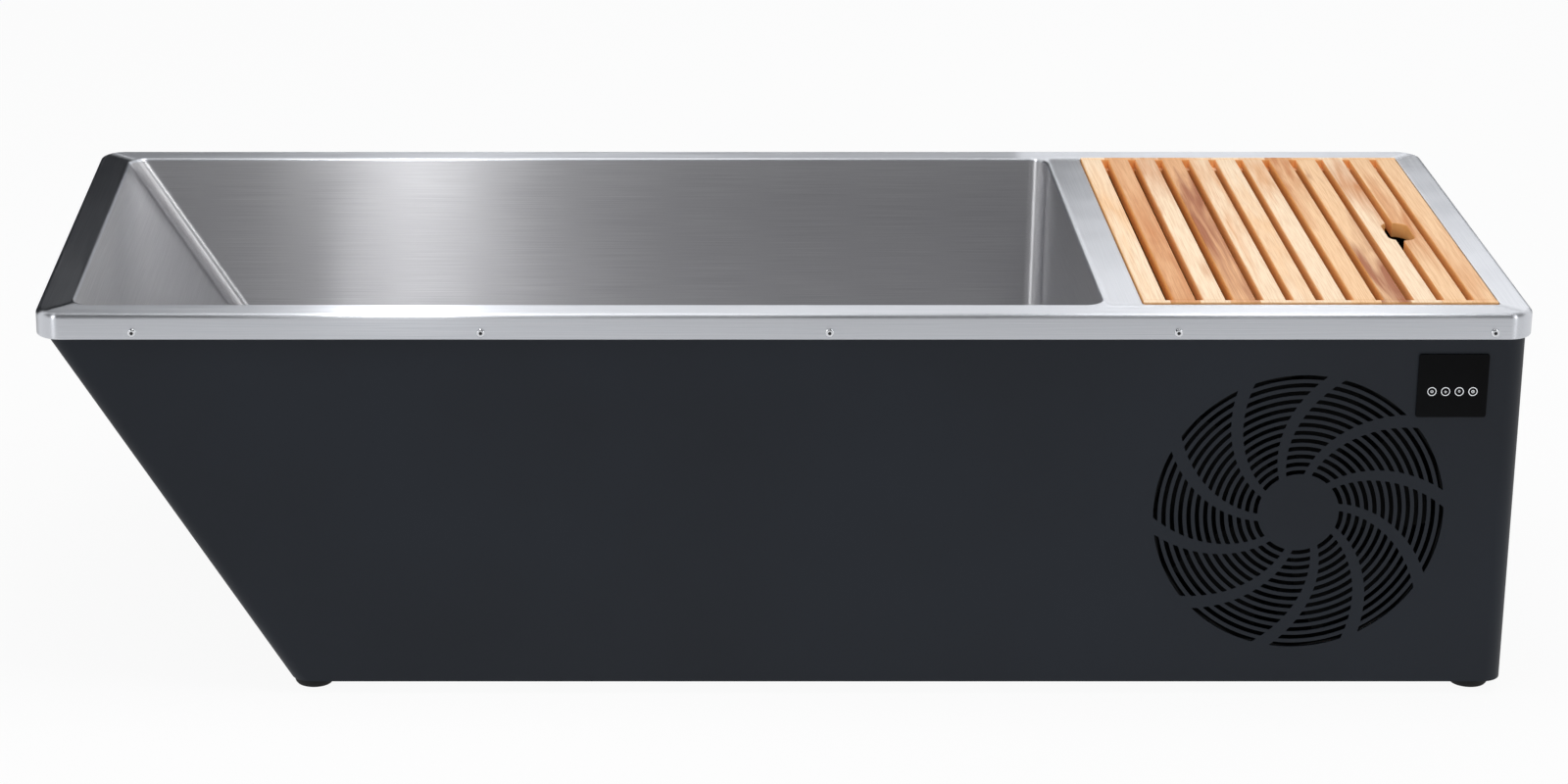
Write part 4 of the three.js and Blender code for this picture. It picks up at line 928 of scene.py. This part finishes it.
def make_basin():
    floor_z = wall_low.z + SHEET
    edge_z = deck_top - EDGE_ROLL
    fillet_z = floor_z + BASIN_FILLET
    section = [(0, edge_z), (0, edge_z - SUPPORT)]
    section += [(0, edge_z + (fillet_z - edge_z) * i / WALL_RINGS) for i in range(1, WALL_RINGS + 1)]
    for a in quarter(8)[1:]:
        section.append((BASIN_FILLET - BASIN_FILLET * math.cos(a), fillet_z - BASIN_FILLET * math.sin(a)))
    section.append((BASIN_FILLET + SUPPORT, floor_z))
    loops = []
    for inset, z in section:
        corner = BASIN_CORNER - inset
        loops.append(leant(rounded_loop(grow(basin_rect, -inset), corner, z, RIM_STEPS)))
    sheet = Sheet()
    _, foot = sheet.rings(loops)
    sheet.fill(foot, [], lambda p: p.xy)
    return thicken(sheet.build("basin_sheet"), BASIN_SHEET)


basin = settle(make_basin())
print("basin", sizes(basin), "mm")

# %% [markdown]
# The drain and the two water fittings pass through round holes. They could be drawn into the rings, but
# that would crowd the walls with points. A turned cylinder cuts each hole instead, as a hole saw does,
# and a turned piece is also what feet and buttons will need: a profile carried round an axis.

# %% Holes for the fittings
DRAIN_HOLE = 22.2 * MM
FITTING_HOLE = 16.2 * MM
CUT_REACH = 0.02
CUT_STEPS = 32


def turned(name, profile, axis, origin, steps=48):
    """A closed turned piece from pairs of radius and height along an axis, both in metres."""
    bm = bmesh.new()
    rings = []
    for radius, height in profile:
        if radius < 1e-7:
            rings.append([bm.verts.new((0, 0, height))])
            continue
        row = []
        for i in range(steps):
            angle = 2 * math.pi * i / steps
            row.append(bm.verts.new((radius * math.cos(angle), radius * math.sin(angle), height)))
        rings.append(row)
    for a, b in zip(rings, rings[1:]):
        for i in range(steps):
            k = (i + 1) % steps
            corners = (a[i % len(a)], a[k % len(a)], b[k % len(b)], b[i % len(b)])
            bm.faces.new(list(dict.fromkeys(corners)))
    bmesh.ops.recalc_face_normals(bm, faces=bm.faces)
    turn = Vector((0, 0, 1)).rotation_difference(Vector(axis)).to_matrix().to_4x4()
    bm.transform(Matrix.Translation(Vector(origin)) @ turn)
    return from_bmesh(name, bm)


def bore(target, axis, centre, radius):
    """Cuts a round hole through a piece."""
    profile = [(0, -CUT_REACH), (radius, -CUT_REACH), (radius, CUT_REACH), (0, CUT_REACH)]
    cutter = turned("cutter", profile, axis, centre, CUT_STEPS)
    cut = target.modifiers.new("bore", "BOOLEAN")
    cut.object = cutter
    cut.solver = "EXACT"
    settle(target)
    bpy.data.objects.remove(cutter)


def middle(node):
    """The middle of a node's box."""
    low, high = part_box(node)
    return (low + high) / 2


drain = middle("drain_fitting")
bore(basin, (0, 0, 1), (drain.x, drain.y, wall_low.z), DRAIN_HOLE)
for fitting in ("suction_fitting", "return_nozzle"):
    centre = middle(fitting)
    bore(basin, (1, 0, 0), (basin_rect[1], centre.y, centre.z), FITTING_HOLE)
dress(basin, wall_steel_painted_shade, "tub", "stainless_steel", "basin_trough", "basin_front_wall", "basin_rear_wall")
print("basin faces with its holes", len(basin.data.polygons))

# %% [markdown]
# ## Cut edges and openings
# A cut edge of sheet is broken so that it can't hurt a hand, and an edge of wood is planed round. Each
# could be drawn into the outlines. A bevel that looks for sharp angles does both with a width in
# millimetres. Openings in upright sheets are outlines in X and Z, each with its own corner radius.

# %% Edges and openings


def soften_edges(obj, width, segments=2, angle=40):
    """Breaks edges that are sharper than an angle with a small bevel."""
    modifier = obj.modifiers.new("edges", "BEVEL")
    modifier.width = width
    modifier.segments = segments
    modifier.limit_method = "ANGLE"
    modifier.angle_limit = math.radians(angle)
    return obj


def rectangle(left, right, bottom, top, radius):
    """A rounded rectangle's outline in X and Z."""
    return [Vector((p.x, p.y)) for p in rounded_loop((left, right, bottom, top), radius, 0, 4)]


def inset_rectangle(low, high, inset, radius):
    """A box's outline in X and Z, moved in all round and with round corners."""
    return rectangle(low.x + inset, high.x - inset, low.z + inset, high.z - inset, radius)


print("an opening's outline has", len(rectangle(0, 1, 0, 1, 0.1)), "points")

# %% [markdown]
# ## The casing
# Two long sheets wrap the front and rear corners, and flat end sheets close the gaps between them. A bent
# sheet could be a plane with bevelled corners, but it would lose its holes' clean outlines. So columns of
# points make the two bends, and the flat face between them is filled round its holes.

# %% Casing sheets
CASING_CORNER = 28 * MM
CORNER_RETURN = 16 * MM
CUT_EDGE = 0.35 * MM
panel_low, panel_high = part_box("front_panel")
skirt_bottom = deck_low.z


def casing_columns(corner_x, side):
    """A bend's columns in order from left to right, as places in X and Y."""
    y = panel_low.y + CASING_CORNER
    columns = []
    for a in quarter(10):
        columns.append((corner_x + side * CASING_CORNER * math.sin(a), y - CASING_CORNER * math.cos(a)))
    columns.append((corner_x + side * CASING_CORNER, y + CORNER_RETURN))
    return columns if side > 0 else columns[::-1]


def casing_sheet(name, holes):
    """A sheet across the front with both corners bent back and the given holes in its face."""
    levels = (panel_low.z, skirt_bottom, panel_high.z)
    sheet = Sheet()

    def column(x, y):
        points = [Vector((x, y, z)) for z in levels]
        if x < 0:
            points = [p + Vector((max(0, skirt_bottom - p.z) * LEAN, 0, 0)) for p in points]
        return sheet.ring(points)

    left = [column(x, y) for x, y in casing_columns(panel_low.x + CASING_CORNER, -1)]
    right = [column(x, y) for x, y in casing_columns(panel_high.x - CASING_CORNER, 1)]
    for run in (left, right):
        for a, b in zip(run, run[1:]):
            for k in range(len(levels) - 1):
                sheet.faces.append((a[k], b[k], b[k + 1], a[k + 1]))
    rings = [sheet.ring([Vector((p.x, panel_low.y, p.y)) for p in hole]) for hole in holes]
    outline = [left[-1][0], right[0][0], right[0][1], right[0][2], left[-1][2], left[-1][1]]
    sheet.fill(outline, rings, lambda p: Vector((p.x, p.z)))
    return sheet.build(name)


def finish_casing(sheet, node):
    """Sheet thickness, broken cut edges and the powder coat."""
    thicken(sheet, SHEET)
    soften_edges(sheet, CUT_EDGE, 1, 60)
    dress(settle(sheet), anthracite, "tub", "powder_coat", node)
    print(node, sizes(sheet), "mm")


print("casing corner", round(CASING_CORNER / MM), "mm")

# %% [markdown]
# ## The swirl grille
# In front of the fan the sheet is laser cut with 13 rings of slots. Ten arms between the slots lean back
# as they go out, which makes the swirl. A cut-out picture would give flat black bars. Real slots show the
# sheet's thickness, so each slot's outline is worked out, its ends cut along the arms and rounded.

# %% Front casing with its grille
GRILLE_X = frame["joints"][1]["pos_m"][0]
GRILLE_Z = frame["joints"][1]["pos_m"][2]
FIRST_RING = 58 * MM
RING_PITCH = 11.27 * MM
RING_COUNT = 13
SLOT_WIDTH = 6 * MM
SLOT_END = 1.7 * MM
SLOT_STEPS = 10
ARM_COUNT = 10
ARM_START = math.radians(114.8)
ARM_TWIST = math.radians(36.2)
ARM_WIDTHS = (10.5 * MM, 24 * MM)
CONTROL_INSET = 10.7 * MM
CONTROL_CORNER = 4 * MM


def softened(outline, radius, steps=4):
    """A 2-D outline with each corner that is sharper than 30 degrees rounded off."""
    points = []
    count = len(outline)
    for i, corner in enumerate(outline):
        before = outline[i - 1] - corner
        after = outline[(i + 1) % count] - corner
        if before.angle(after) > math.radians(150):
            points.append(corner)
            continue
        start = corner + before.normalized() * min(radius, before.length / 2)
        end = corner + after.normalized() * min(radius, after.length / 2)
        for k in range(steps + 1):
            t = k / steps
            points.append(start * (1 - t) ** 2 + corner * 2 * t * (1 - t) + end * t ** 2)
    return points


def slot_edge(radius, arm):
    """One long edge of a slot, from arm to arm at a radius."""
    share = (radius - FIRST_RING) / ((RING_COUNT - 1) * RING_PITCH)
    half = (ARM_WIDTHS[0] + (ARM_WIDTHS[1] - ARM_WIDTHS[0]) * share) / 2 / radius
    start = ARM_START + 2 * math.pi * arm / ARM_COUNT - ARM_TWIST * share + half
    end = start + 2 * math.pi / ARM_COUNT - 2 * half
    angles = [start + (end - start) * i / SLOT_STEPS for i in range(SLOT_STEPS + 1)]
    return [Vector((GRILLE_X + radius * math.cos(a), GRILLE_Z + radius * math.sin(a))) for a in angles]


def grille_slot(ring, arm):
    """One slot's outline in X and Z, with its ends cut along the arms and softly rounded."""
    mid = FIRST_RING + ring * RING_PITCH
    outline = slot_edge(mid + SLOT_WIDTH / 2, arm) + slot_edge(mid - SLOT_WIDTH / 2, arm)[::-1]
    return softened(outline, SLOT_END)


control_low, control_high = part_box("control_panel")
front_holes = [grille_slot(ring, arm) for ring in range(RING_COUNT) for arm in range(ARM_COUNT)]
front_holes.append(inset_rectangle(control_low, control_high, CONTROL_INSET, CONTROL_CORNER))
finish_casing(casing_sheet("front_casing", front_holes), "front_panel")
print("slots", len(front_holes) - 1)

# %% [markdown]
# ## The rear casing
# The rear sheet lets the warm air out through a row of upright vents and holds the mains inlet. It is the
# front sheet's shape seen in a mirror, so the same function draws it and the mesh is flipped across Y.
# Flipping turns its faces inside out, so they are turned back.

# %% Rear casing with its vents
VENT_COUNT = 10
VENT_PITCH = 16 * MM
VENT_SIZE = (6 * MM, 130 * MM)
VENT_CORNER = 2.8 * MM
VENT_FROM_RIGHT = 120 * MM
INLET_RIM = 3.7 * MM
INLET_CORNER = 3 * MM
inlet_low, inlet_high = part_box("power_inlet")
rear_holes = []
for i in range(VENT_COUNT):
    x = panel_high.x - VENT_FROM_RIGHT - i * VENT_PITCH
    rear_holes.append(rectangle(x - VENT_SIZE[0], x, GRILLE_Z - VENT_SIZE[1] / 2,
                                GRILLE_Z + VENT_SIZE[1] / 2, VENT_CORNER))
rear_holes.append(inset_rectangle(inlet_low, inlet_high, INLET_RIM, INLET_CORNER))
rear = casing_sheet("rear_casing", rear_holes)
rear.data.transform(Matrix.Scale(-1, 4, (0, 1, 0)))
rear.data.flip_normals()
finish_casing(rear, "rear_panel")
print("vents", VENT_COUNT)

# %% [markdown]
# ## The dust pad
# Behind the rear vents lies a pad of open-cell foam that keeps dust out of the chiller. A plain cube would
# show hard edges through the vents. This one is four rings with round corners, drawn in at the front and
# back as a crushed edge is, just inside the casing.

# %% Dust pad behind the vents
PAD_MARGIN = 10 * MM
PAD_DEPTH = 8 * MM
PAD_GAP = 0.5 * MM
PAD_EDGE = 1.5 * MM
PAD_CORNER = 6 * MM


def make_pad():
    right = panel_high.x - VENT_FROM_RIGHT + PAD_MARGIN
    left = right - (VENT_COUNT - 1) * VENT_PITCH - VENT_SIZE[0] - 2 * PAD_MARGIN
    half = VENT_SIZE[1] / 2 + PAD_MARGIN
    back = -panel_low.y - SHEET - PAD_GAP
    front_y = back - PAD_DEPTH
    section = [(PAD_EDGE, back), (0, back - PAD_EDGE), (0, front_y + PAD_EDGE), (PAD_EDGE, front_y)]
    loops = []
    for inset, y in section:
        outline = rectangle(left + inset, right - inset, GRILLE_Z - half + inset, GRILLE_Z + half - inset,
                            PAD_CORNER - inset)
        loops.append([Vector((p.x, y, p.y)) for p in outline])
    sheet = Sheet()
    far, near = sheet.rings(loops)
    sheet.fill(near, [], lambda p: Vector((p.x, p.z)))
    sheet.fill(far[::-1], [], lambda p: Vector((-p.x, p.z)))
    return settle(sheet.build("dust_pad"), 60)


pad = dress(make_pad(), dust_foam, "tub", "rubber")
print("dust pad", sizes(pad), "mm")

# %% [markdown]
# ## The lid's slats
# Twelve slats with open grooves between them lie on a strip at each end. Two of them share a long finger
# hole with round ends, set towards the right-hand one. A cutter could make the hole, but a bevel then
# stumbles over its cut. So each slat is drawn as an outline from above, with its share of the hole in it.

# %% Slat outlines
SLAT_COUNT = 12
FINGER_HOLE = (37 * MM, 86 * MM)
FINGER_Y = -30 * MM
FINGER_SHIFT = 5 * MM
HOLE_SLAT = 10
NOTCH_STEPS = 20


def finger_notch(side_x, notch_side):
    """The finger hole's outline where it crosses a slat's side, from end to end."""
    radius = FINGER_HOLE[0] / 2
    gap = (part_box(f"lid_slat_{HOLE_SLAT}")[1].x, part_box(f"lid_slat_{HOLE_SLAT + 1}")[0].x)
    middle_x = sum(gap) / 2 + FINGER_SHIFT
    straight = FINGER_HOLE[1] / 2 - radius
    mouth = math.acos((middle_x - side_x) * notch_side / radius)
    notch = []
    for i in range(NOTCH_STEPS + 1):
        angle = mouth * (1 - i / NOTCH_STEPS) if i < NOTCH_STEPS else 0
        notch.append((radius * math.cos(angle), straight + radius * math.sin(angle)))
    notch += [(x, -y) for x, y in notch[::-1]]
    return [Vector((middle_x - notch_side * x, FINGER_Y - y)) for x, y in notch]


def slat_outline(low, high, notch_side):
    """A slat's outline from above, with its share of the finger hole on one side where asked."""
    points = [Vector((low.x, low.y)), Vector((high.x, low.y)),
              Vector((high.x, high.y)), Vector((low.x, high.y))]
    if notch_side > 0:
        return points[:2] + finger_notch(high.x, 1) + points[2:]
    if notch_side < 0:
        return points + finger_notch(low.x, -1)[::-1]
    return points


print("finger hole", [round(side / MM) for side in FINGER_HOLE], "mm")

# %% [markdown]
# A slat is planed round along its edges and stepped at both ends, where it lies on the strip's ledge. The
# outline is pushed down to the step and then, between the ledges, to the full depth. The bevel comes last
# and only takes square corners, so it leaves the round of the finger hole as it is.

# %% Slats
SLAT_ROUND = 2.6 * MM
SLAT_BEVEL_ANGLE = 62
RAIL_LEDGE = 16.3 * MM
RAIL_DEPTH = 9.3 * MM


def push_down(bm, faces, z):
    """Extrudes faces down to a height."""
    made = bmesh.ops.extrude_face_region(bm, geom=faces)["geom"]
    for vert in (v for v in made if isinstance(v, bmesh.types.BMVert)):
        vert.co.z = z


def make_slat(index):
    low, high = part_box(f"lid_slat_{index}")
    notch_side = {HOLE_SLAT: 1, HOLE_SLAT + 1: -1}.get(index, 0)
    ledges = (low.y + RAIL_LEDGE, high.y - RAIL_LEDGE)
    bm = bmesh.new()
    bm.faces.new([bm.verts.new((p.x, p.y, high.z)) for p in slat_outline(low, high, notch_side)])
    for y in ledges:
        everything = bm.verts[:] + bm.edges[:] + bm.faces[:]
        bmesh.ops.bisect_plane(bm, geom=everything, plane_co=(0, y, 0), plane_no=(0, 1, 0))
    step_z = low.z + RAIL_DEPTH
    push_down(bm, bm.faces[:], step_z)
    body = []
    for face in bm.faces:
        centre = face.calc_center_median()
        if abs(centre.z - step_z) < 1e-6 and ledges[0] < centre.y < ledges[1]:
            body.append(face)
    push_down(bm, body, low.z)
    bmesh.ops.delete(bm, geom=body, context="FACES_ONLY")
    bmesh.ops.recalc_face_normals(bm, faces=bm.faces)
    slat = from_bmesh(f"slat_{index}", bm)
    return settle(soften_edges(slat, SLAT_ROUND, 4, SLAT_BEVEL_ANGLE), 50)


for index in range(1, SLAT_COUNT + 1):
    slat = dress(make_slat(index), slat_woods[index - 1], "lid", "oiled_wood", f"lid_slat_{index}")
print("slats", SLAT_COUNT, "and the last one is", sizes(slat), "mm")

# %% [markdown]
# ## The lid's end strips
# A strip along each end holds the slats, with a ledge under them. It is glued up from the same woods, one
# length for each slat. Twelve short pieces would show seams, so one section is carried along X, and each
# length of it takes the wood of its slat.

# %% End strips
RAIL_STRIP = 10 * MM
RAIL_EDGE = 1.2 * MM
LEDGE_GAP = 0.6 * MM


def rail_section(low, high, inner):
    """The strip's section in Y and Z; inner is 1 where the slats lie on its +Y side."""
    outer, ledge = (low.y, high.y) if inner > 0 else (high.y, low.y)
    inside = outer + inner * RAIL_STRIP
    ledge_top = low.z + RAIL_DEPTH - LEDGE_GAP
    shoulder = high.z - RAIL_EDGE
    return [(outer, low.z), (ledge, low.z), (ledge, ledge_top), (inside, ledge_top), (inside, shoulder),
            (inside - inner * RAIL_EDGE, high.z), (outer + inner * RAIL_EDGE, high.z), (outer, shoulder)]


def skin(bm, rows, finish_of=lambda band: 0):
    """Closes rows of points with a band of faces from each to the next and a face at both ends."""
    for band, (a, b) in enumerate(zip(rows, rows[1:])):
        for k in range(len(a)):
            n = (k + 1) % len(a)
            bm.faces.new((a[k], a[n], b[n], b[k])).material_index = finish_of(band)
    bm.faces.new(rows[0]).material_index = finish_of(0)
    bm.faces.new(rows[-1]).material_index = finish_of(len(rows) - 2)


def make_rail(name, node, inner):
    low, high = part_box(node)
    section = rail_section(low, high, inner)
    joints = [low.x]
    for i in range(1, SLAT_COUNT):
        joints.append((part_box(f"lid_slat_{i}")[1].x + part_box(f"lid_slat_{i + 1}")[0].x) / 2)
    joints.append(high.x)
    bm = bmesh.new()
    rows = [[bm.verts.new((x, y, z)) for y, z in section] for x in joints]
    skin(bm, rows, lambda band: band)
    bmesh.ops.recalc_face_normals(bm, faces=bm.faces)
    rail = settle(from_bmesh(name, bm), 30)
    return dress(rail, slat_woods, "lid", "oiled_wood", node)


front_rail = make_rail("rail_front", "lid_rail_front", 1)
make_rail("rail_rear", "lid_rail_rear", -1)
print("end strip", sizes(front_rail), "mm")

# %% [markdown]
# ## The touch panel
# A plate of coated black acrylic with a fine bevel closes a moulded tray that stands behind the casing.
# Four round touch buttons sit in bores through the plate. A solid block would fill the tray, and painted
# buttons couldn't move, so plate and tray are sheets with real bores and walls.

# %% Touch panel plate and tray
BEZEL_EDGE = 0.5 * MM
BEZEL_CORNER = 3 * MM
BUTTON_BORE = 6.95 * MM
PLATE = 2 * MM
TRAY_WALL = 1.6 * MM
TRAY_EDGE = 0.4 * MM
TRAY_CLEARANCE = 0.4 * MM


def upright_ring(sheet, outline, y):
    """A ring of an outline in X and Z, standing at a place in Y."""
    return sheet.ring([Vector((p.x, y, p.y)) for p in outline])


def circle(centre, radius, steps=32):
    """A circle's outline in X and Z."""
    angles = [2 * math.pi * k / steps for k in range(steps)]
    return [Vector((centre.x + radius * math.cos(a), centre.z + radius * math.sin(a))) for a in angles]


def make_plate():
    sheet = Sheet()
    bezel = inset_rectangle(control_low, control_high, 0, BEZEL_CORNER)
    face = upright_ring(sheet, bezel, control_low.y)
    bores = [circle(middle(f"button_{i}"), BUTTON_BORE) for i in range(1, 5)]
    holes = [upright_ring(sheet, outline, control_low.y) for outline in bores]
    sheet.fill(face, holes, lambda p: Vector((p.x, p.z)))
    return settle(soften_edges(thicken(sheet.build("touch_panel"), PLATE), BEZEL_EDGE, 2, 50))


def make_tray():
    sheet = Sheet()
    outline = inset_rectangle(control_low, control_high, CONTROL_INSET + TRAY_CLEARANCE, CONTROL_CORNER)
    mouth = upright_ring(sheet, outline, control_low.y + PLATE)
    back = upright_ring(sheet, outline, control_high.y)
    sheet.bridge(back, mouth)
    sheet.fill(back[::-1], [], lambda p: Vector((-p.x, p.z)))
    return settle(soften_edges(thicken(sheet.build("touch_panel_tray"), TRAY_WALL), TRAY_EDGE, 2, 50))


plate = dress(make_plate(), glass_black, "tub", "panel_gloss", "control_panel")
tray = dress(make_tray(), black_abs, "tub", "panel_gloss")
print("touch panel", sizes(plate), "mm, tray", sizes(tray), "mm")

# %% [markdown]
# ## The signs
# Each button carries a printed ring and a small power, warmer, colder or timer sign. An image would blur
# when seen close. A sign is drawn as strokes of ink instead: each stroke is a row of points in
# millimetres, given a width and a height and swept to a flat band, so it stays sharp at any distance.

# %% Signs
INK_HEIGHT = 0.06 * MM
INK_WIDTH = 0.6 * MM
RING_WIDTH = 0.85 * MM
RING_RADIUS = 5.6 * MM
SIGN_SCALE = 0.8


def arc(radius, start, end, steps=16):
    """Points along an arc between two angles in degrees."""
    angles = [math.radians(start + (end - start) * i / steps) for i in range(steps + 1)]
    return [(radius * math.cos(a), radius * math.sin(a)) for a in angles]


SIGNS = (
    (arc(2.1, 125, 415), [(0, 0.4), (0, 2.7)]),
    ([(-1.9, -0.6), (0, 1.5), (1.9, -0.6)], [(-1.6, -1.9), (1.6, -1.9)]),
    ([(-1.9, 0.6), (0, -1.5), (1.9, 0.6)], [(-1.6, 1.9), (1.6, 1.9)]),
    (arc(2.3, 0, 360), [(0, 1.3), (0, 0), (0.9, -0.7)]),
)


def ink_stroke(bm, points, width, centre, y):
    """A flat band along a row of points in millimetres, raised off a button's face."""
    rows = []
    for i, point in enumerate(points):
        here = Vector(point)
        before = Vector(points[max(i - 1, 0)])
        after = Vector(points[min(i + 1, len(points) - 1)])
        way = (after - before).normalized()
        across = Vector((-way.y, way.x)) * width / 2
        row = []
        for side, height in ((1, 0), (1, INK_HEIGHT), (-1, INK_HEIGHT), (-1, 0)):
            place = here * MM + across * side
            row.append(bm.verts.new((centre.x + place.x, y - height, centre.z + place.y)))
        rows.append(row)
    skin(bm, rows)


def make_sign(name, strokes, centre, y):
    bm = bmesh.new()
    ring = [(x / MM, z / MM) for x, z in arc(RING_RADIUS, 0, 360, 48)]
    ink_stroke(bm, ring, RING_WIDTH, centre, y)
    for stroke in strokes:
        ink_stroke(bm, [(x * SIGN_SCALE, z * SIGN_SCALE) for x, z in stroke], INK_WIDTH, centre, y)
    bmesh.ops.remove_doubles(bm, verts=bm.verts, dist=1e-6)
    bmesh.ops.recalc_face_normals(bm, faces=bm.faces)
    return settle(from_bmesh(name, bm))


print("strokes", [len(strokes) for strokes in SIGNS])

# %% [markdown]
# ## The buttons
# A touch button is a small acrylic disc with a slight crown, and it presses in by a millimetre. A cylinder
# with a bevel would do as well; it is turned here, because its profile then shows the crown in plain
# numbers. Each disc and its sign ride on the button's own body, so that they move together.

# %% Buttons
CROWN = 0.4 * MM
for i, strokes in enumerate(SIGNS, 1):
    low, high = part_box(f"button_{i}")
    centre = (low + high) / 2
    depth = high.y - low.y
    radius = (high.z - low.z) / 2
    profile = [(0, depth), (radius - 1.6 * CROWN, depth), (radius - 0.5 * CROWN, depth - 0.4 * CROWN),
               (radius, depth - 1.2 * CROWN), (radius, 0), (0, 0)]
    button = settle(turned(f"touch_button_{i}", profile, (0, -1, 0), (centre.x, high.y, centre.z)))
    dress(button, glass_black, f"button_{i}", "panel_gloss", f"button_{i}")
    sign = make_sign(f"button_{i}_sign", strokes, centre, low.y)
    dress(sign, icon_white, f"button_{i}", "panel_gloss")
print("buttons", len(SIGNS), "of", sizes(button), "mm")

# %% [markdown]
# ## The screws
# Five dome-head screws with a hexagon socket hold the skirt to the casing along the front. The dome could
# be turned, but the six-sided socket couldn't. So rings of points run from the socket's floor over the
# dome to its rim, and the socket's rings are pulled to a hexagon. Its inside is painted black as shade.

# %% Screws
SCREW_COUNT = 5
HEAD_RADIUS = 6 * MM
HEAD_HEIGHT = 2.4 * MM
HEAD_RIM = 0.4 * MM
HEAD_FLAT = 0.5 * MM
SOCKET_RADIUS = 2.6 * MM
SOCKET_DEPTH = 1.9 * MM
SOCKET_LIP = 0.15 * MM
SCREW_STEPS = 36
SEATING = 0.05 * MM


def screw_rings():
    """Radius, height and whether it is six-sided, for each ring from the socket's floor to the rim."""
    rows = [(SOCKET_RADIUS, HEAD_HEIGHT - depth, True) for depth in (SOCKET_DEPTH, SOCKET_LIP)]
    flat = SOCKET_RADIUS + HEAD_FLAT
    for a in quarter(8):
        rows.append((flat + (HEAD_RADIUS - flat) * math.sin(a),
                     HEAD_RIM + (HEAD_HEIGHT - HEAD_RIM) * math.cos(a), False))
    return rows + [(HEAD_RADIUS, 0, False)]


def make_screw(name, place):
    """A dome head that faces the front, with a six-sided socket."""
    bm = bmesh.new()
    rings = []
    for radius, height, six in screw_rings():
        row = []
        for k in range(SCREW_STEPS):
            angle = 2 * math.pi * k / SCREW_STEPS
            reach = radius
            if six:
                turn = angle % (math.pi / 3) - math.pi / 6
                reach = radius * math.cos(math.pi / 6) / math.cos(turn)
            row.append(bm.verts.new((place[0] + reach * math.cos(angle), place[1] - height,
                                     place[2] + reach * math.sin(angle))))
        rings.append(row)
    # The first band and its end are the socket, which takes the second material: black, as painted shade in
    # the recess.
    skin(bm, rings, lambda band: 1 if band == 0 else 0)
    bmesh.ops.recalc_face_normals(bm, faces=bm.faces)
    return settle(from_bmesh(name, bm), 30)


for i in range(1, SCREW_COUNT + 1):
    low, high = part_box(f"deck_screw_{i}")
    place = ((low.x + high.x) / 2, deck_low.y - SEATING, (low.z + high.z) / 2)
    screw = make_screw(f"screw_front_{i}", place)
    # The socket's black is painted shade.
    dress(screw, [polished, enamel_and_socket_shade], "tub", "stainless_steel", f"deck_screw_{i}")
print("screws", SCREW_COUNT, "of", sizes(screw), "mm")

# %% [markdown]
# ## The feet
# The tub stands on four pads moulded in rubber. A pad has a rounded foot, a groove that lets it give, and
# a well for the bolt that holds it. A cylinder could be cut with loops and pulled into that shape by hand.
# All of it is round, so one profile turned about Z makes the pad and keeps its numbers in sight.

# %% Feet
BOLT_WELL = 6 * MM


def foot_profile(radius, height):
    """Radius and height from the floor of the bolt's well, round the outside, to the top."""
    well = [(0, height * 0.5), (BOLT_WELL, height * 0.5), (BOLT_WELL, 0.6 * MM), (BOLT_WELL + 1 * MM, 0)]
    toe = [(radius - 4 * MM, 0), (radius - 2.5 * MM, 0.5 * MM), (radius - 0.8 * MM, 2.6 * MM),
           (radius, 4.5 * MM)]
    groove = [(radius, height * 0.55), (radius - 1 * MM, height * 0.6), (radius - 1 * MM, height * 0.7),
              (radius, height * 0.75)]
    top = [(radius, height - 0.8 * MM), (radius - 0.8 * MM, height), (0, height)]
    return well + toe + groove + top


for corner in ("front_left", "front_right", "rear_left", "rear_right"):
    low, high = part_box(f"foot_{corner}")
    profile = foot_profile((high.x - low.x) / 2, high.z - low.z)
    stand = ((low.x + high.x) / 2, (low.y + high.y) / 2, 0)
    foot = turned(f"rubber_foot_{corner}", profile, (0, 0, 1), stand)
    dress(settle(foot), epdm, "tub", "rubber", f"foot_{corner}")
print("feet", sizes(foot), "mm")

# %% [markdown]
# ## The pieces that stay as they are
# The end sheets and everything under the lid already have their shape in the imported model. Rebuilding
# them would add nothing that shows, so they only get their finish and smooth shading.

# %% Finishes of the remaining nodes
SHARP_ANGLE = math.radians(30)
FINISHES = {
    anthracite: ("left_end_panel", "right_end_panel"),
    zinc: ("base_tray", "base_frame", "bulkhead"),
    wall_steel_painted_shade: ("drain_fitting",),
    epdm: ("drain_plug", "return_hose"),
    fan_nylon: ("fan_shroud", "fan_rotor"),
    black_abs: ("power_inlet", "filter_cap", "pump_body", "heat_exchanger"),
    grey_abs: ("controller_box", "filter_housing"),
    white_pvc: ("suction_fitting", "return_nozzle", "pump_impeller"),
    enamel_and_socket_shade: ("compressor",),
    # The condenser's dark colour is painted shade.
    condenser_fins_painted_shade: ("condenser",),
    copper: ("discharge_line", "liquid_line", "gas_return_line"),
    foam: ("insulation",),
    paper: ("filter_cartridge",),
}
for finish, names in FINISHES.items():
    for name in names:
        mesh = nodes[name].data
        mesh.materials.clear()
        mesh.materials.append(finish)
        mesh.shade_smooth()
        mesh.set_sharp_from_angle(angle=SHARP_ANGLE)
print("finished nodes", sum(len(names) for names in FINISHES.values()))
